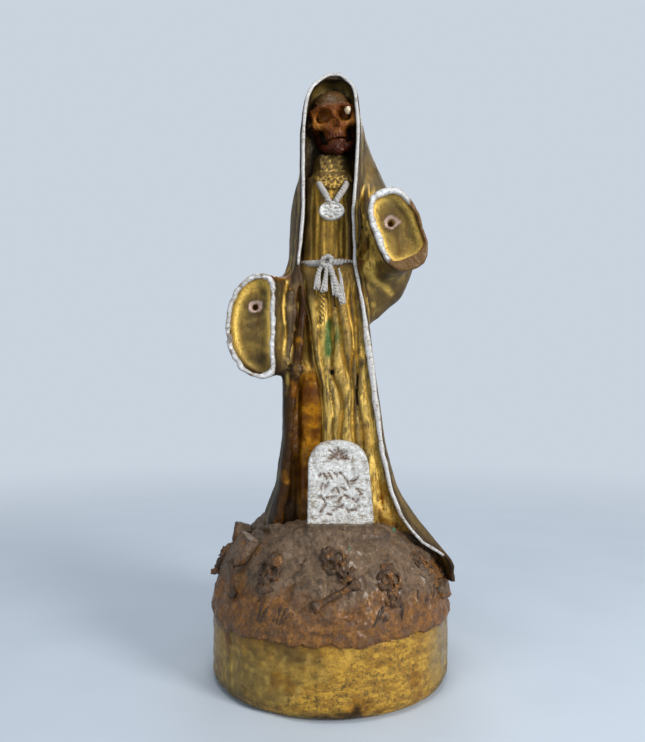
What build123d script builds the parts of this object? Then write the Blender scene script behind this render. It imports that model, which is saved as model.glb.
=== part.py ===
"""Hooded skeleton figurine: a robed, cloaked skeleton on an earth mound and a thick round plinth.

Units are millimetres. The origin is the centre of the plinth's underside, +Z is up and the figure faces -Y.
"Left" and "right" are the figure's own, so its left arm is on the +X side.
"""

import os

from build123d import *

os.makedirs("parts", exist_ok=True)

# Driving dimensions
FIGURE_HEIGHT = 300.0
PLINTH_RADIUS = 60.0
PLINTH_HEIGHT = 35.0
PLINTH_EDGE = 3.0
MOUND_TOP = 80.0
WAIST_HEIGHT = 205.0
WAIST_RADIUS = 12.5
ROPE_RADIUS = 1.8
CLOAK_WALL = 2.6
TRIM_WIDTH = 2.4
GLUE_GAP = 0.05

# Spigots that locate one casting in the next
MOUND_SPIGOT_RADIUS = 15.0
MOUND_SPIGOT_LENGTH = 8.0
SKIRT_SPIGOT_RADIUS = 9.0
SKIRT_SPIGOT_LENGTH = 10.0
BODICE_SPIGOT_RADIUS = 5.0
BODICE_SPIGOT_LENGTH = 9.0
SOCKET_END_GAP = 0.5

# Holes in the cuffs that once held the hands
HAND_PEG_RADIUS = 1.5
HAND_PEG_LENGTH = 10.0
CUFF_POCKET_DEPTH = 4.0
CUFF_RIM_WIDTH = 2.6
CUFF_RIM_PROUD = 1.6

MOUND_RADII = {PLINTH_HEIGHT: 59.4, 44: 57.5, 54: 54.0, 64: 49.5, 73: 43.0, MOUND_TOP: 35.0}

# Level ovals as (height, centre x, centre y, half width, half depth)
SKIRT_OVALS = (
    (MOUND_TOP, 3, -3, 28, 25),
    (95, 2, -3, 25.5, 24),
    (120, 1, -4, 21.5, 23),
    (150, 0, -4, 18.5, 20),
    (180, 0, -4, 15.5, 16.5),
    (WAIST_HEIGHT, 0, -5, WAIST_RADIUS, WAIST_RADIUS),
)
BODICE_OVALS = (
    (WAIST_HEIGHT, 0, -5, WAIST_RADIUS, WAIST_RADIUS),
    (217, 0, -5, 12.3, 12),
    (231, 0, -4.5, 12, 11.5),
    (242, 0.3, -4, 10.5, 10),
    (249, 0.8, -3.5, 6, 6),
    (256, 1, -3, 4.5, 4.5),
)
CLOAK_OVALS = (
    (56, 15, 4, 45, 38),
    (66, 11, 1, 39, 37),
    (MOUND_TOP, 5, -4, 35, 35),
    (95, 2.6, -8, 29, 35),
    (120, 1.4, -10, 25.4, 34),
    (150, 0, -10, 23.8, 33),
    (180, 0, -8, 20.6, 29),
    (205, -1.6, -6, 16.4, 26),
    (230, -1.4, -5, 16.4, 23),
    (250, -0.3, -5, 16.8, 23),
    (272, 0.2, -5, 16.8, 23),
    (285, 1, -5, 14.6, 20),
    (291, 1.5, -5, 12.6, 17.5),
    (295, 1.8, -5, 10.4, 15),
    (298.4, 2, -5, 7.0, 11),
    (FIGURE_HEIGHT, 2.2, -5, 4.0, 7),
)
LEFT_ARM_OVALS = (
    (180, 16, 4, 6, 8),
    (190, 20, 4, 15, 15),
    (205, 22, 4, 19.5, 18),
    (220, 22, 4, 19.5, 18),
    (235, 19, 4, 17, 17),
    (248, 15, 5, 14, 16),
    (262, 11.5, 5, 11, 14),
    (275, 9, 5, 8, 11),
    (284, 7, 5, 6, 8),
)
RIGHT_ARM_OVALS = (
    (176, -12, 3, 7.5, 11),
    (190, -12, 3, 9.5, 15),
    (205, -11, 3, 9.5, 16),
    (220, -11, 4, 9.8, 16.5),
    (235, -10.5, 4, 9.5, 15.5),
    (246, -9, 5, 8, 13),
    (252, -8, 5, 4, 7),
)

# Upright ovals across the sleeves as (distance in front of the axis, centre x, centre z, half width, half height)
RIGHT_SLEEVE_OVALS = (
    (-4, -14, 186, 9, 20),
    (8, -21, 182, 10.5, 23),
    (20, -31, 177, 11.5, 24.2),
    (30, -38.5, 173.7, 12.2, 24.5),
)
LEFT_SLEEVE_OVALS = (
    (-4, 22, 216, 12, 22),
    (10, 25, 218, 12.5, 21),
    (24, 29, 218.3, 12.4, 19.8),
    (35, 31.6, 217.9, 12.3, 19.3),
)
LEFT_CUFF_LEAN = 14.0
RIGHT_HAND_HOLE = (-36.2, 182.5)
LEFT_HAND_HOLE = (28.3, 221.6)

# The cloak's open front, as (height, distance in front of the axis)
CLOAK_FRONT = (
    (50, 8),
    (60, 15),
    (70, 24),
    (84, 27),
    (120, 24.5),
    (150, 22.5),
    (180, 20),
    (205, 18),
    (230, 17.5),
    (250, 17),
    (272, 15.5),
    (285, 14),
    (FIGURE_HEIGHT + 1, 10),
)

HEAD_CENTRE = Vector(1.6, -2.6, 279.6)
HEAD_LEAN = 8.0
# Level ovals of the skull, measured from the head's centre: (height, centre y, half width, half depth)
SKULL_OVALS = (
    (-11, -2.8, 6.2, 8.4),
    (0, 0, 11.4, 11.4),
    (9.6, 1, 7.6, 8.6),
    (12.2, 1.5, 2.8, 3.2),
)
EYE_SOCKET = (5.2, -10.2, 0.6)
EYE_SOCKET_RADIUS = 3.4
JAW_FOOT = -18.4
JAW_HEIGHT = 6.2
BEAD_PLACE = (8.7, -12.0, 282.0)
BEAD_RADIUS = 1.7


def level_oval(height, x, y, half_width, half_depth, inset=0.0):
    """One level cross-section, drawn smaller by inset."""
    with BuildSketch(Plane.XY.offset(height)) as oval:
        with Locations((x, y)):
            Ellipse(half_width - inset, half_depth - inset)
    return oval.sketch


def upright_oval(forward, x, z, half_width, half_height, lean=0.0, inset=0.0):
    """One cross-section that faces the front, leaning outwards by lean degrees."""
    with BuildSketch(Plane.XZ.offset(forward)) as oval:
        with Locations((x, z)):
            Ellipse(half_width - inset, half_height - inset, rotation=lean)
    return oval.sketch


def mound_radius(height):
    """Radius of the mound's surface at a height, straight between the driving sizes."""
    heights = sorted(MOUND_RADII)
    for low, high in zip(heights, heights[1:]):
        if height <= high:
            share = (height - low) / (high - low)
            return MOUND_RADII[low] + share * (MOUND_RADII[high] - MOUND_RADII[low])
    return MOUND_RADII[heights[-1]]


def on_mound(bearing, height, sink=0.0, roll=0.0):
    """A place on the mound's surface: bearing 0 is the front and grows towards +X. Local +Z faces out and +Y up."""
    outwards = Vector(0, -1, 0).rotate(Axis.Z, bearing)
    seat = outwards * (mound_radius(height) - sink) + Vector(0, 0, height)
    level = Vector(0, 0, 1).cross(outwards)
    return Location(Plane(origin=seat, x_dir=level, z_dir=outwards)) * Location((0, 0, 0), (0, 0, roll))


def save(builder, name):
    """Labels a finished piece and writes it as one STEP file."""
    builder.part.label = name
    export_step(builder.part, f"parts/{name}.step")


# Bones that lie in the mound: (bearing, height, roll, size)
GRAVE_SKULLS = (
    (-32, 61, -8, 1.0),
    (2, 66, 42, 1.0),
    (29, 57, -4, 1.05),
    (56, 61, 42, 0.8),
    (-92, 55, 0, 1.0),
    (88, 53, 10, 0.85),
    (140, 60, 25, 1.0),
    (-150, 56, -15, 1.0),
    (178, 63, 0, 0.95),
)
GRAVE_BONES = (
    (2, 54, 28, 20.0),
    (-58, 54, -60, 15.0),
    (110, 58, -20, 17.0),
    (-118, 62, 35, 16.0),
    (160, 46, 5, 15.0),
)
GRAVE_ROCKS = (
    (-84, 70, 10, (15, 10, 10)),
    (-60, 66, -12, (17, 15, 8)),
    (-112, 46, 25, (14, 9, 7)),
    (70, 46, 15, (11, 8, 7)),
    (125, 48, 40, (13, 10, 8)),
    (-170, 46, 10, (15, 9, 8)),
)
RIB_FANS = ((-27, 43, 4), (25, 43, 4), (49, 47, 4), (-140, 44, 4))

with BuildPart() as grave_skulls:
    for bearing, height, roll, size in GRAVE_SKULLS:
        with Locations(on_mound(bearing, height, sink=1.5, roll=roll)):
            Sphere(5.6 * size)
            with Locations((0, -5.0 * size, 0.6 * size)):
                Box(6.6 * size, 7.0 * size, 6.0 * size)

with BuildPart() as grave_bones:
    for bearing, height, roll, length in GRAVE_BONES:
        with Locations(on_mound(bearing, height, sink=0.3, roll=roll)):
            Cylinder(1.2, length, rotation=(0, 90, 0))
            with GridLocations(length, 2.6, 2, 2):
                Sphere(1.8)

with BuildPart() as grave_ribs:
    for bearing, height, count in RIB_FANS:
        with Locations(on_mound(bearing, height, sink=0.2)):
            with GridLocations(3.6, 0, count, 1):
                Cylinder(0.9, 12, rotation=(90, 0, 0))

with BuildPart() as grave_rocks:
    for bearing, height, roll, size in GRAVE_ROCKS:
        with Locations(on_mound(bearing, height, sink=1.0, roll=roll)):
            Box(*size)
    chamfer(grave_rocks.edges(), length=1.5)
with grave_bones:
    add(grave_rocks.part, mode=Mode.SUBTRACT)

with BuildPart() as skirt:
    loft([level_oval(*oval) for oval in SKIRT_OVALS])
    with Locations((SKIRT_OVALS[0][1], SKIRT_OVALS[0][2], MOUND_TOP)):
        Cylinder(SKIRT_SPIGOT_RADIUS, SKIRT_SPIGOT_LENGTH, align=(Align.CENTER, Align.CENTER, Align.MAX))
    with Locations((0, BODICE_OVALS[0][2], WAIST_HEIGHT)):
        Cylinder(
            BODICE_SPIGOT_RADIUS + GLUE_GAP,
            BODICE_SPIGOT_LENGTH + SOCKET_END_GAP,
            align=(Align.CENTER, Align.CENTER, Align.MAX),
            mode=Mode.SUBTRACT,
        )

with BuildPart() as bodice:
    loft([level_oval(*oval) for oval in BODICE_OVALS])
    with Locations((0, BODICE_OVALS[0][2], WAIST_HEIGHT)):
        Cylinder(BODICE_SPIGOT_RADIUS, BODICE_SPIGOT_LENGTH, align=(Align.CENTER, Align.CENTER, Align.MAX))

BELT_CENTRE = (0, BODICE_OVALS[0][2], WAIST_HEIGHT)
with BuildPart() as rope_belt:
    with Locations(BELT_CENTRE):
        Torus(WAIST_RADIUS + ROPE_RADIUS + 0.2, ROPE_RADIUS)

KNOT_CENTRE = (-2, -21.6, WAIST_HEIGHT + 0.5)
with BuildPart() as belt_knot:
    with Locations(KNOT_CENTRE):
        Sphere(2.8)
    add(rope_belt.part, mode=Mode.SUBTRACT)

with BuildPart() as belt_tassels:
    for lean, length in ((-10, 15.0), (22, 20.0)):
        with Locations(Location((KNOT_CENTRE[0], -20.2, WAIST_HEIGHT - 1), (-4, 180 - lean, 0))):
            Cone(1.4, 2.4, length, align=(Align.CENTER, Align.CENTER, Align.MIN))
    for piece in (belt_knot, rope_belt, skirt, bodice):
        add(piece.part, mode=Mode.SUBTRACT)

with BuildPart() as lace_collar:
    with Locations((0.5, -5, 246)):
        Torus(7.6, 2.6)
    with Locations(Location((0.8, -14.2, 241), (8, 0, 0))):
        Cone(1.0, 4.5, 9)
    add(bodice.part, mode=Mode.SUBTRACT)

with BuildPart() as medallion:
    with BuildSketch(Plane.XZ.offset(16.2)):
        with Locations((0.6, 230.2)):
            Ellipse(6.3, 4.7)
    extrude(amount=2.4)
    add(bodice.part, mode=Mode.SUBTRACT)

with BuildPart() as necklace:
    for side in (-1, 1):
        with Locations(Location((0.9 + side * 4.6, -17.2, 239.5), (-4, side * 24, 0))):
            Cylinder(1.3, 11)
    for piece in (bodice, lace_collar, medallion):
        add(piece.part, mode=Mode.SUBTRACT)

with BuildPart() as skull:
    loft([level_oval(height, 0, centre, half, depth) for height, centre, half, depth in SKULL_OVALS])
    socket_x, socket_y, socket_z = EYE_SOCKET
    with Locations((-socket_x, socket_y, socket_z), (socket_x, socket_y, socket_z)):
        Sphere(EYE_SOCKET_RADIUS, mode=Mode.SUBTRACT)
    with Locations(Location((0, -11.8, -5.4), (90, 0, 0))):
        Cone(1.8, 0.5, 5, mode=Mode.SUBTRACT)
skull.part.locate(Location(HEAD_CENTRE, (0, -HEAD_LEAN, 0)))

with BuildPart() as jaw:
    with BuildSketch(Plane.XY.offset(JAW_FOOT)):
        with Locations((0, -4.6)):
            Ellipse(6.0, 7.0)
            Ellipse(3.2, 4.2, mode=Mode.SUBTRACT)
    extrude(amount=JAW_HEIGHT)
jaw.part.locate(Location(HEAD_CENTRE, (0, -HEAD_LEAN, 0)))
with jaw:
    add(bodice.part, mode=Mode.SUBTRACT)

with BuildPart() as eye_bead:
    with Locations(BEAD_PLACE):
        Sphere(BEAD_RADIUS)
    add(skull.part, mode=Mode.SUBTRACT)

with BuildPart() as gravestone:
    with BuildSketch(Plane.XZ.offset(30)) as arch:
        with BuildLine():
            foot = Line((-11, 82), (19, 82))
            right_side = Line(foot @ 1, (17.5, 107))
            head = ThreePointArc(right_side @ 1, (4, 120), (-9.5, 107))
            Line(head @ 1, foot @ 0)
        make_face()
    extrude(amount=6)
    add(skirt.part, mode=Mode.SUBTRACT)

with BuildPart() as gravestone_step:
    with Locations((4, -35.5, MOUND_TOP - 1)):
        Box(34, 15, 6)
    add(skirt.part, mode=Mode.SUBTRACT)

with BuildPart() as earth_mound:
    with BuildSketch(Plane.XZ):
        with BuildLine():
            surface = Spline([(MOUND_RADII[height], height) for height in sorted(MOUND_RADII)])
            Polyline(surface @ 1, (0, MOUND_TOP), (0, PLINTH_HEIGHT), surface @ 0)
        make_face()
    revolve(axis=Axis.Z)
    with Locations((0, 0, PLINTH_HEIGHT)):
        Cylinder(MOUND_SPIGOT_RADIUS, MOUND_SPIGOT_LENGTH, align=(Align.CENTER, Align.CENTER, Align.MAX))
    with Locations((SKIRT_OVALS[0][1], SKIRT_OVALS[0][2], MOUND_TOP)):
        Cylinder(
            SKIRT_SPIGOT_RADIUS + GLUE_GAP,
            SKIRT_SPIGOT_LENGTH + SOCKET_END_GAP,
            align=(Align.CENTER, Align.CENTER, Align.MAX),
            mode=Mode.SUBTRACT,
        )
    for piece in (gravestone_step, grave_skulls, grave_bones, grave_ribs, grave_rocks):
        add(piece.part, mode=Mode.SUBTRACT)

with BuildPart() as plinth:
    Cylinder(PLINTH_RADIUS, PLINTH_HEIGHT, align=(Align.CENTER, Align.CENTER, Align.MIN))
    fillet(plinth.edges().group_by(Axis.Z)[0], radius=PLINTH_EDGE)
    with Locations((0, 0, PLINTH_HEIGHT)):
        Cylinder(
            MOUND_SPIGOT_RADIUS + GLUE_GAP,
            MOUND_SPIGOT_LENGTH + SOCKET_END_GAP,
            align=(Align.CENTER, Align.CENTER, Align.MAX),
            mode=Mode.SUBTRACT,
        )
    for piece in (grave_skulls, grave_bones, grave_ribs, grave_rocks):
        add(piece.part, mode=Mode.SUBTRACT)


def sleeve_arm(arm_ovals, sleeve_ovals, lean, hole):
    """An arm under its drape with a bell sleeve, a shallow pocket in the cuff and a hole for the hand's peg."""
    mouth = sleeve_ovals[-1]
    pocket_floor = mouth[0] - CUFF_POCKET_DEPTH
    pocket = upright_oval(*mouth, lean=lean, inset=CUFF_RIM_WIDTH)
    with BuildPart() as arm:
        loft([level_oval(*oval) for oval in arm_ovals])
        loft([upright_oval(*oval, lean=lean) for oval in sleeve_ovals])
        extrude(pocket, amount=-CUFF_POCKET_DEPTH, mode=Mode.SUBTRACT)
        with Locations(Plane.XZ.offset(pocket_floor).location * Location((hole[0], hole[1], 0))):
            Cylinder(
                HAND_PEG_RADIUS,
                HAND_PEG_LENGTH,
                align=(Align.CENTER, Align.CENTER, Align.MAX),
                mode=Mode.SUBTRACT,
            )
    return arm


def cuff_rim(sleeve_ovals, lean):
    """The raised rim around a sleeve's mouth."""
    mouth = sleeve_ovals[-1]
    with BuildPart() as rim:
        extrude(upright_oval(*mouth, lean=lean), amount=CUFF_RIM_PROUD)
        extrude(
            upright_oval(*mouth, lean=lean, inset=CUFF_RIM_WIDTH),
            amount=CUFF_RIM_PROUD,
            mode=Mode.SUBTRACT,
        )
    return rim


right_sleeve = sleeve_arm(RIGHT_ARM_OVALS, RIGHT_SLEEVE_OVALS, 0, RIGHT_HAND_HOLE)
left_sleeve = sleeve_arm(LEFT_ARM_OVALS, LEFT_SLEEVE_OVALS, LEFT_CUFF_LEAN, LEFT_HAND_HOLE)
right_cuff_rim = cuff_rim(RIGHT_SLEEVE_OVALS, 0)
left_cuff_rim = cuff_rim(LEFT_SLEEVE_OVALS, LEFT_CUFF_LEAN)

with BuildPart() as cloak_body:
    loft([level_oval(*oval) for oval in CLOAK_OVALS])
with BuildPart() as cloak_hollow:
    loft([level_oval(*oval, inset=CLOAK_WALL) for oval in CLOAK_OVALS[:-1]])
with BuildPart() as front_space:
    with BuildSketch(Plane.YZ):
        with BuildLine():
            edge = Spline([(-forward, height) for height, forward in CLOAK_FRONT])
            Polyline(edge @ 1, (-80, FIGURE_HEIGHT + 1), (-80, CLOAK_FRONT[0][0]), edge @ 0)
        make_face()
    extrude(amount=PLINTH_RADIUS + 10, both=True)

with BuildPart() as cloak:
    add(cloak_body.part)
    for space in (cloak_hollow, front_space):
        add(space.part, mode=Mode.SUBTRACT)

with BuildPart() as cloak_trim:
    add(cloak.part)
    add(front_space.part.moved(Location((0, TRIM_WIDTH, 0))), mode=Mode.INTERSECT)

for arm in (right_sleeve, left_sleeve):
    with arm:
        for space in (cloak_body, skirt, bodice, rope_belt):
            add(space.part, mode=Mode.SUBTRACT)

under_cloak = (
    skirt,
    bodice,
    rope_belt,
    gravestone,
    gravestone_step,
    earth_mound,
    grave_skulls,
    grave_bones,
    grave_rocks,
)
with cloak_trim:
    for piece in under_cloak:
        add(piece.part, mode=Mode.SUBTRACT)
with cloak:
    for piece in (cloak_trim, *under_cloak):
        add(piece.part, mode=Mode.SUBTRACT)

PIECES = {
    "plinth": plinth,
    "earth_mound": earth_mound,
    "grave_skulls": grave_skulls,
    "grave_bones": grave_bones,
    "grave_ribs": grave_ribs,
    "grave_rocks": grave_rocks,
    "gravestone": gravestone,
    "gravestone_step": gravestone_step,
    "skirt": skirt,
    "bodice": bodice,
    "rope_belt": rope_belt,
    "belt_knot": belt_knot,
    "belt_tassels": belt_tassels,
    "lace_collar": lace_collar,
    "necklace": necklace,
    "medallion": medallion,
    "skull": skull,
    "jaw": jaw,
    "eye_bead": eye_bead,
    "cloak": cloak,
    "cloak_trim": cloak_trim,
    "right_sleeve": right_sleeve,
    "left_sleeve": left_sleeve,
    "right_cuff_rim": right_cuff_rim,
    "left_cuff_rim": left_cuff_rim,
}
for name, piece in PIECES.items():
    save(piece, name)
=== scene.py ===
"""Looks for the hooded skeleton figurine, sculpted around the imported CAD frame.

Shapes are written in millimetres as distance fields, meshed through OpenVDB and then scaled to metres.
The figure faces -Y, so its own left arm is on the +X side.
"""

import math

import bpy
import numpy as np
import openvdb
from mathutils import Matrix, Vector, noise


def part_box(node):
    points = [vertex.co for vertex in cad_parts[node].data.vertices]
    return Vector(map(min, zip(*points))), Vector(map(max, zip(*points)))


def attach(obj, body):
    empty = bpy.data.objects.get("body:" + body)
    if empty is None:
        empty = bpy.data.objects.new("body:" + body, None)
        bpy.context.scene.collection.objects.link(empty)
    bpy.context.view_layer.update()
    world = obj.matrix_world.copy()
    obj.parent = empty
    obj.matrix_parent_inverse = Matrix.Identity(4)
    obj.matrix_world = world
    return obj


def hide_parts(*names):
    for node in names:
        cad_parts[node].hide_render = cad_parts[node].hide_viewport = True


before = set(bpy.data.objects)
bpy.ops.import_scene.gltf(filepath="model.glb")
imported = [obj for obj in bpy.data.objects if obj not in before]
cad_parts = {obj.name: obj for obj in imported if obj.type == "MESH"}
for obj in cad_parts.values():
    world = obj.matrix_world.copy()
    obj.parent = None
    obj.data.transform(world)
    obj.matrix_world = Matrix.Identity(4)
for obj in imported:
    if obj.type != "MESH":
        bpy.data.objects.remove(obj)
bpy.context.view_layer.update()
MM = 0.001


def box_mm(node):
    """Lowest and highest corner of a CAD node, in millimetres."""
    low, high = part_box(node)
    return np.array(low) / MM, np.array(high) / MM


PLINTH_LOW, PLINTH_HIGH = box_mm("plinth")
MOUND_LOW, MOUND_HIGH = box_mm("earth_mound")
CLOAK_LOW, CLOAK_HIGH = box_mm("cloak")
PLINTH_RADIUS = PLINTH_HIGH[0]
PLINTH_TOP = PLINTH_HIGH[2]
MOUND_TOP = MOUND_HIGH[2]
FIGURE_TOP = CLOAK_HIGH[2]
WAIST = sum(corner[2] for corner in box_mm("rope_belt")) / 2

# ---------------------------------------------------------------- tables of the figure's shape

# Level ovals as (height, centre x, centre y, half width, half depth)
CLOAK_OVALS = (
    (50, 16, 5, 47, 38),
    (56, 15, 4, 45, 38),
    (66, 8, 1, 42.5, 37),
    (MOUND_TOP, 3, -4, 37, 35),
    (95, 2.2, -8, 29.8, 35),
    (120, 1.4, -10, 25.4, 34),
    (150, -0.6, -10, 23.2, 33),
    (180, -0.8, -8, 19.8, 29),
    (WAIST, -1.9, -6, 15.8, 26),
    (230, -1.0, -5, 14.6, 23),
    (250, -0.3, -5, 15.2, 23),
    (272, 0.2, -5, 15.5, 23),
    (285, 0.5, -5, 14.2, 20),
    (291, 1.1, -5, 13.0, 18),
    (295, 1.4, -5, 11.3, 16),
    (298.4, 1.6, -5, 8.2, 12.5),
    (FIGURE_TOP, 1.8, -5, 5.6, 9),
)
LEFT_ARM_OVALS = (
    (180, 16, 4, 6, 8),
    (190, 20, 4, 15, 15),
    (205, 22, 4, 19.5, 18),
    (220, 22, 4, 19.5, 18),
    (235, 19, 4, 17, 17),
    (248, 15, 5, 14, 16),
    (262, 11.5, 5, 11, 14),
    (275, 9, 5, 8, 11),
    (284, 7, 5, 6, 8),
)
RIGHT_ARM_OVALS = (
    (176, -12, 3, 7.5, 11),
    (190, -12, 3, 9.5, 15),
    (205, -11, 3, 9.5, 16),
    (220, -11, 4, 9.8, 16.5),
    (235, -10.5, 4, 9.5, 15.5),
    (246, -9, 5, 8, 13),
    (252, -8, 5, 4, 7),
)
# Where the cloak's front opening is cut off, as (height, distance forward)
CLOAK_FRONT = (
    (50, 8),
    (60, 15),
    (70, 24),
    (84, 27),
    (120, 24.5),
    (150, 22.5),
    (180, 20),
    (WAIST, 18),
    (230, 17.5),
    (250, 17),
    (272, 15.5),
    (285, 14),
    (FIGURE_TOP + 1, 10),
)
CLOAK_WALL = 2.6
# How far the cloak's left lip turns outwards towards its foot, as (height, distance)
LIP_FLARE = ((62, 7.0), (70, 6.2), (79, 4.3), (88, 2.4), (100, 1.0), (112, 0))

# Upright ovals across the sleeves, as (distance in front of the axis, centre x, centre z, half width,
# half height). A side is -1 for the figure's right, at -X, and 1 for its left.
RIGHT_BELL = (
    (-6, -14, 186, 8, 18),
    (2, -17, 184, 9, 20.5),
    (10, -21.5, 178.5, 10.5, 20),
    (20, -28, 174.8, 14.5, 22.8),
    (30, -32, 173, 18.4, 25),
)
LEFT_BELL = (
    (-6, 21, 214, 11, 21),
    (8, 24, 217, 10.8, 19.8),
    (22, 28.5, 218, 11.2, 19.6),
    (35, 31.4, 217.9, 11.5, 20.0),
)
# The mound as (height, radius)
MOUND_PROFILE = ((30, 60.4), (36, 60.2), (44, 58), (54, 54.3), (64, 49.5), (73, 43), (79, 36), (83, 26))
ARM_OVALS = {-1: RIGHT_ARM_OVALS, 1: LEFT_ARM_OVALS}
BELL = {-1: RIGHT_BELL, 1: LEFT_BELL}
MOUTH = {side: -box_mm(name)[0][1] for side, name in ((-1, "right_sleeve"), (1, "left_sleeve"))}
RIGHT_CUFF_FLAT = -26.3
LEFT_CUFF_LEAN = math.radians(17)
HOLE = {-1: (-36.2, 182.5), 1: (28.3, 221.6)}
HOLE_RADIUS = 1.5
POCKET_DEPTH = 4.0
RIM_WIDTH = 2.6
CUFF_WALL = 1.7


def read_line(rows, at):
    """Second column of a table read at the given values of its first."""
    return np.interp(at, *np.array(rows).T)


def read_rows(rows, at, blur=2.5):
    """Columns of a table read at the given heights, with corners rounded off over about blur millimetres."""
    rows = np.asarray(rows, float)
    step = 0.5
    reach = int(4 * blur / step)
    fine = np.arange(rows[0, 0] - 20, rows[-1, 0] + 20, step)
    kernel = np.exp(-0.5 * (np.arange(-reach, reach + 1) * step / blur) ** 2)
    kernel /= kernel.sum()
    columns = []
    for column in rows.T[1:]:
        line = np.pad(np.interp(fine, rows[:, 0], column), reach, mode="edge")
        line = np.convolve(line, kernel, mode="valid")
        columns.append(np.interp(at, fine, line).astype(np.float32))
    return columns


# ---------------------------------------------------------------- distance fields


def block(low, high, step):
    """Open coordinate arrays that fill a box, with its corner and step."""
    axes = [np.arange(a, b + step, step, dtype=np.float32) for a, b in zip(low, high)]
    x, y, z = np.meshgrid(*axes, indexing="ij", sparse=True)
    return (x, y, z), np.array([axis[0] for axis in axes]), step


def oval_field(x, y, cx, cy, rx, ry, power=2.0):
    """Roughly the distance from a superellipse in the plane."""
    dx, dy = x - cx, y - cy
    share = (np.abs(dx / rx) ** power + np.abs(dy / ry) ** power) ** (1 / power) + 1e-5
    return np.hypot(dx, dy) * (1 - 1 / share)


def ellipsoid(p, centre, radii):
    """Roughly the distance from an ellipsoid."""
    d = [a - c for a, c in zip(p, centre)]
    near = np.sqrt(sum((a / r) ** 2 for a, r in zip(d, radii))) + 1e-5
    far = np.sqrt(sum((a / r**2) ** 2 for a, r in zip(d, radii))) + 1e-5
    return near * (near - 1) / far


def capsule(p, a, b, radius_a, radius_b=None):
    """Distance from a rod with round ends that may taper."""
    radius_b = radius_a if radius_b is None else radius_b
    a, b = np.asarray(a, float), np.asarray(b, float)
    along = b - a
    share = sum((q - s) * t for q, s, t in zip(p, a, along)) / float(along @ along)
    share = np.clip(share, 0, 1)
    gap = np.sqrt(sum((q - s - share * t) ** 2 for q, s, t in zip(p, a, along)))
    return gap - (radius_a + (radius_b - radius_a) * share)


def rod_chain(p, points, radii):
    """Distance from a chain of tapered rods."""
    links = zip(points, points[1:], radii, radii[1:])
    return np.minimum.reduce([capsule(p, a, b, ra, rb) for a, b, ra, rb in links])


def soft_min(a, b, width):
    """Union of two fields with a fillet."""
    share = np.clip(0.5 + 0.5 * (b - a) / width, 0, 1)
    return b + (a - b) * share - width * share * (1 - share)


def soft_max(a, b, width):
    """Overlap of two fields with a rounded edge."""
    return -soft_min(-a, -b, width)


def step_up(value, low, high):
    """0 below low, 1 above high and smooth between."""
    t = np.clip((value - low) / (high - low), 0, 1)
    return t * t * (3 - 2 * t)


def step_down(value, low, high):
    """1 below low, 0 above high and smooth between."""
    return step_up(-value, -high, -low)


def bell(offset, width):
    """1 where offset is 0, falling smoothly to about 0 at twice the width."""
    return np.exp(-((offset / width) ** 2))


def spot(across, up, wide, tall):
    """A bell in two directions."""
    return np.exp(-((across / wide) ** 2) - (up / tall) ** 2)


def ripple(p, size, seed):
    """Smooth seeded bumps between about -1 and 1, of the given size in millimetres."""
    rng = np.random.default_rng(seed)
    total, bend = 0, 0
    for _ in range(7):
        way = rng.normal(size=3)
        way *= 2 * math.pi / (size * np.linalg.norm(way)) * rng.uniform(0.6, 1.5)
        wave = np.sin(sum(float(w) * a for w, a in zip(way, p)) + rng.uniform(0, 6.28) + 1.4 * bend)
        total, bend = total + wave, wave
    return total / 3.0


# ---------------------------------------------------------------- meshes


def new_object(name, points, faces):
    """A smooth-shaded object from points in millimetres."""
    mesh = bpy.data.meshes.new(name)
    mesh.from_pydata((np.asarray(points, float) * MM).tolist(), [], [list(map(int, f)) for f in faces])
    mesh.validate()
    mesh.shade_smooth()
    made = bpy.data.objects.new(name, mesh)
    bpy.context.scene.collection.objects.link(made)
    return made


def field_mesh(field, low, step):
    """Points in millimetres and outward-facing quads of a field's zero surface, without loose crumbs."""
    reach = 3 * step
    grid = openvdb.FloatGrid(reach)
    padded = np.pad(np.clip(field, -reach, reach), 2, constant_values=reach)
    grid.copyFromArray(np.ascontiguousarray(padded, dtype=np.float32))
    points, quads = grid.convertToQuads(isovalue=0.0)
    quads = keep_big_islands(points, quads.astype(np.int64)[:, ::-1])
    used = np.unique(quads)
    index = np.zeros(len(points), np.int64)
    index[used] = np.arange(len(used))
    return (points[used] - 2) * step + low, index[quads]


def keep_big_islands(points, quads, smallest=60):
    """Drops loose crumbs: groups of joined faces with fewer than smallest points."""
    label = np.arange(len(points))
    a, b = quads[:, [0, 1, 2, 3]].ravel(), quads[:, [1, 2, 3, 0]].ravel()
    while True:
        before = label.copy()
        low = np.minimum(label[a], label[b])
        np.minimum.at(label, a, low)
        np.minimum.at(label, b, low)
        label = label[label]
        if np.array_equal(before, label):
            break
    count = np.bincount(label, minlength=len(points))
    return quads[count[label[quads[:, 0]]] >= smallest]


def sculpt(name, field, low, step):
    """An object from a field."""
    return new_object(name, *field_mesh(field, low, step))


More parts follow.
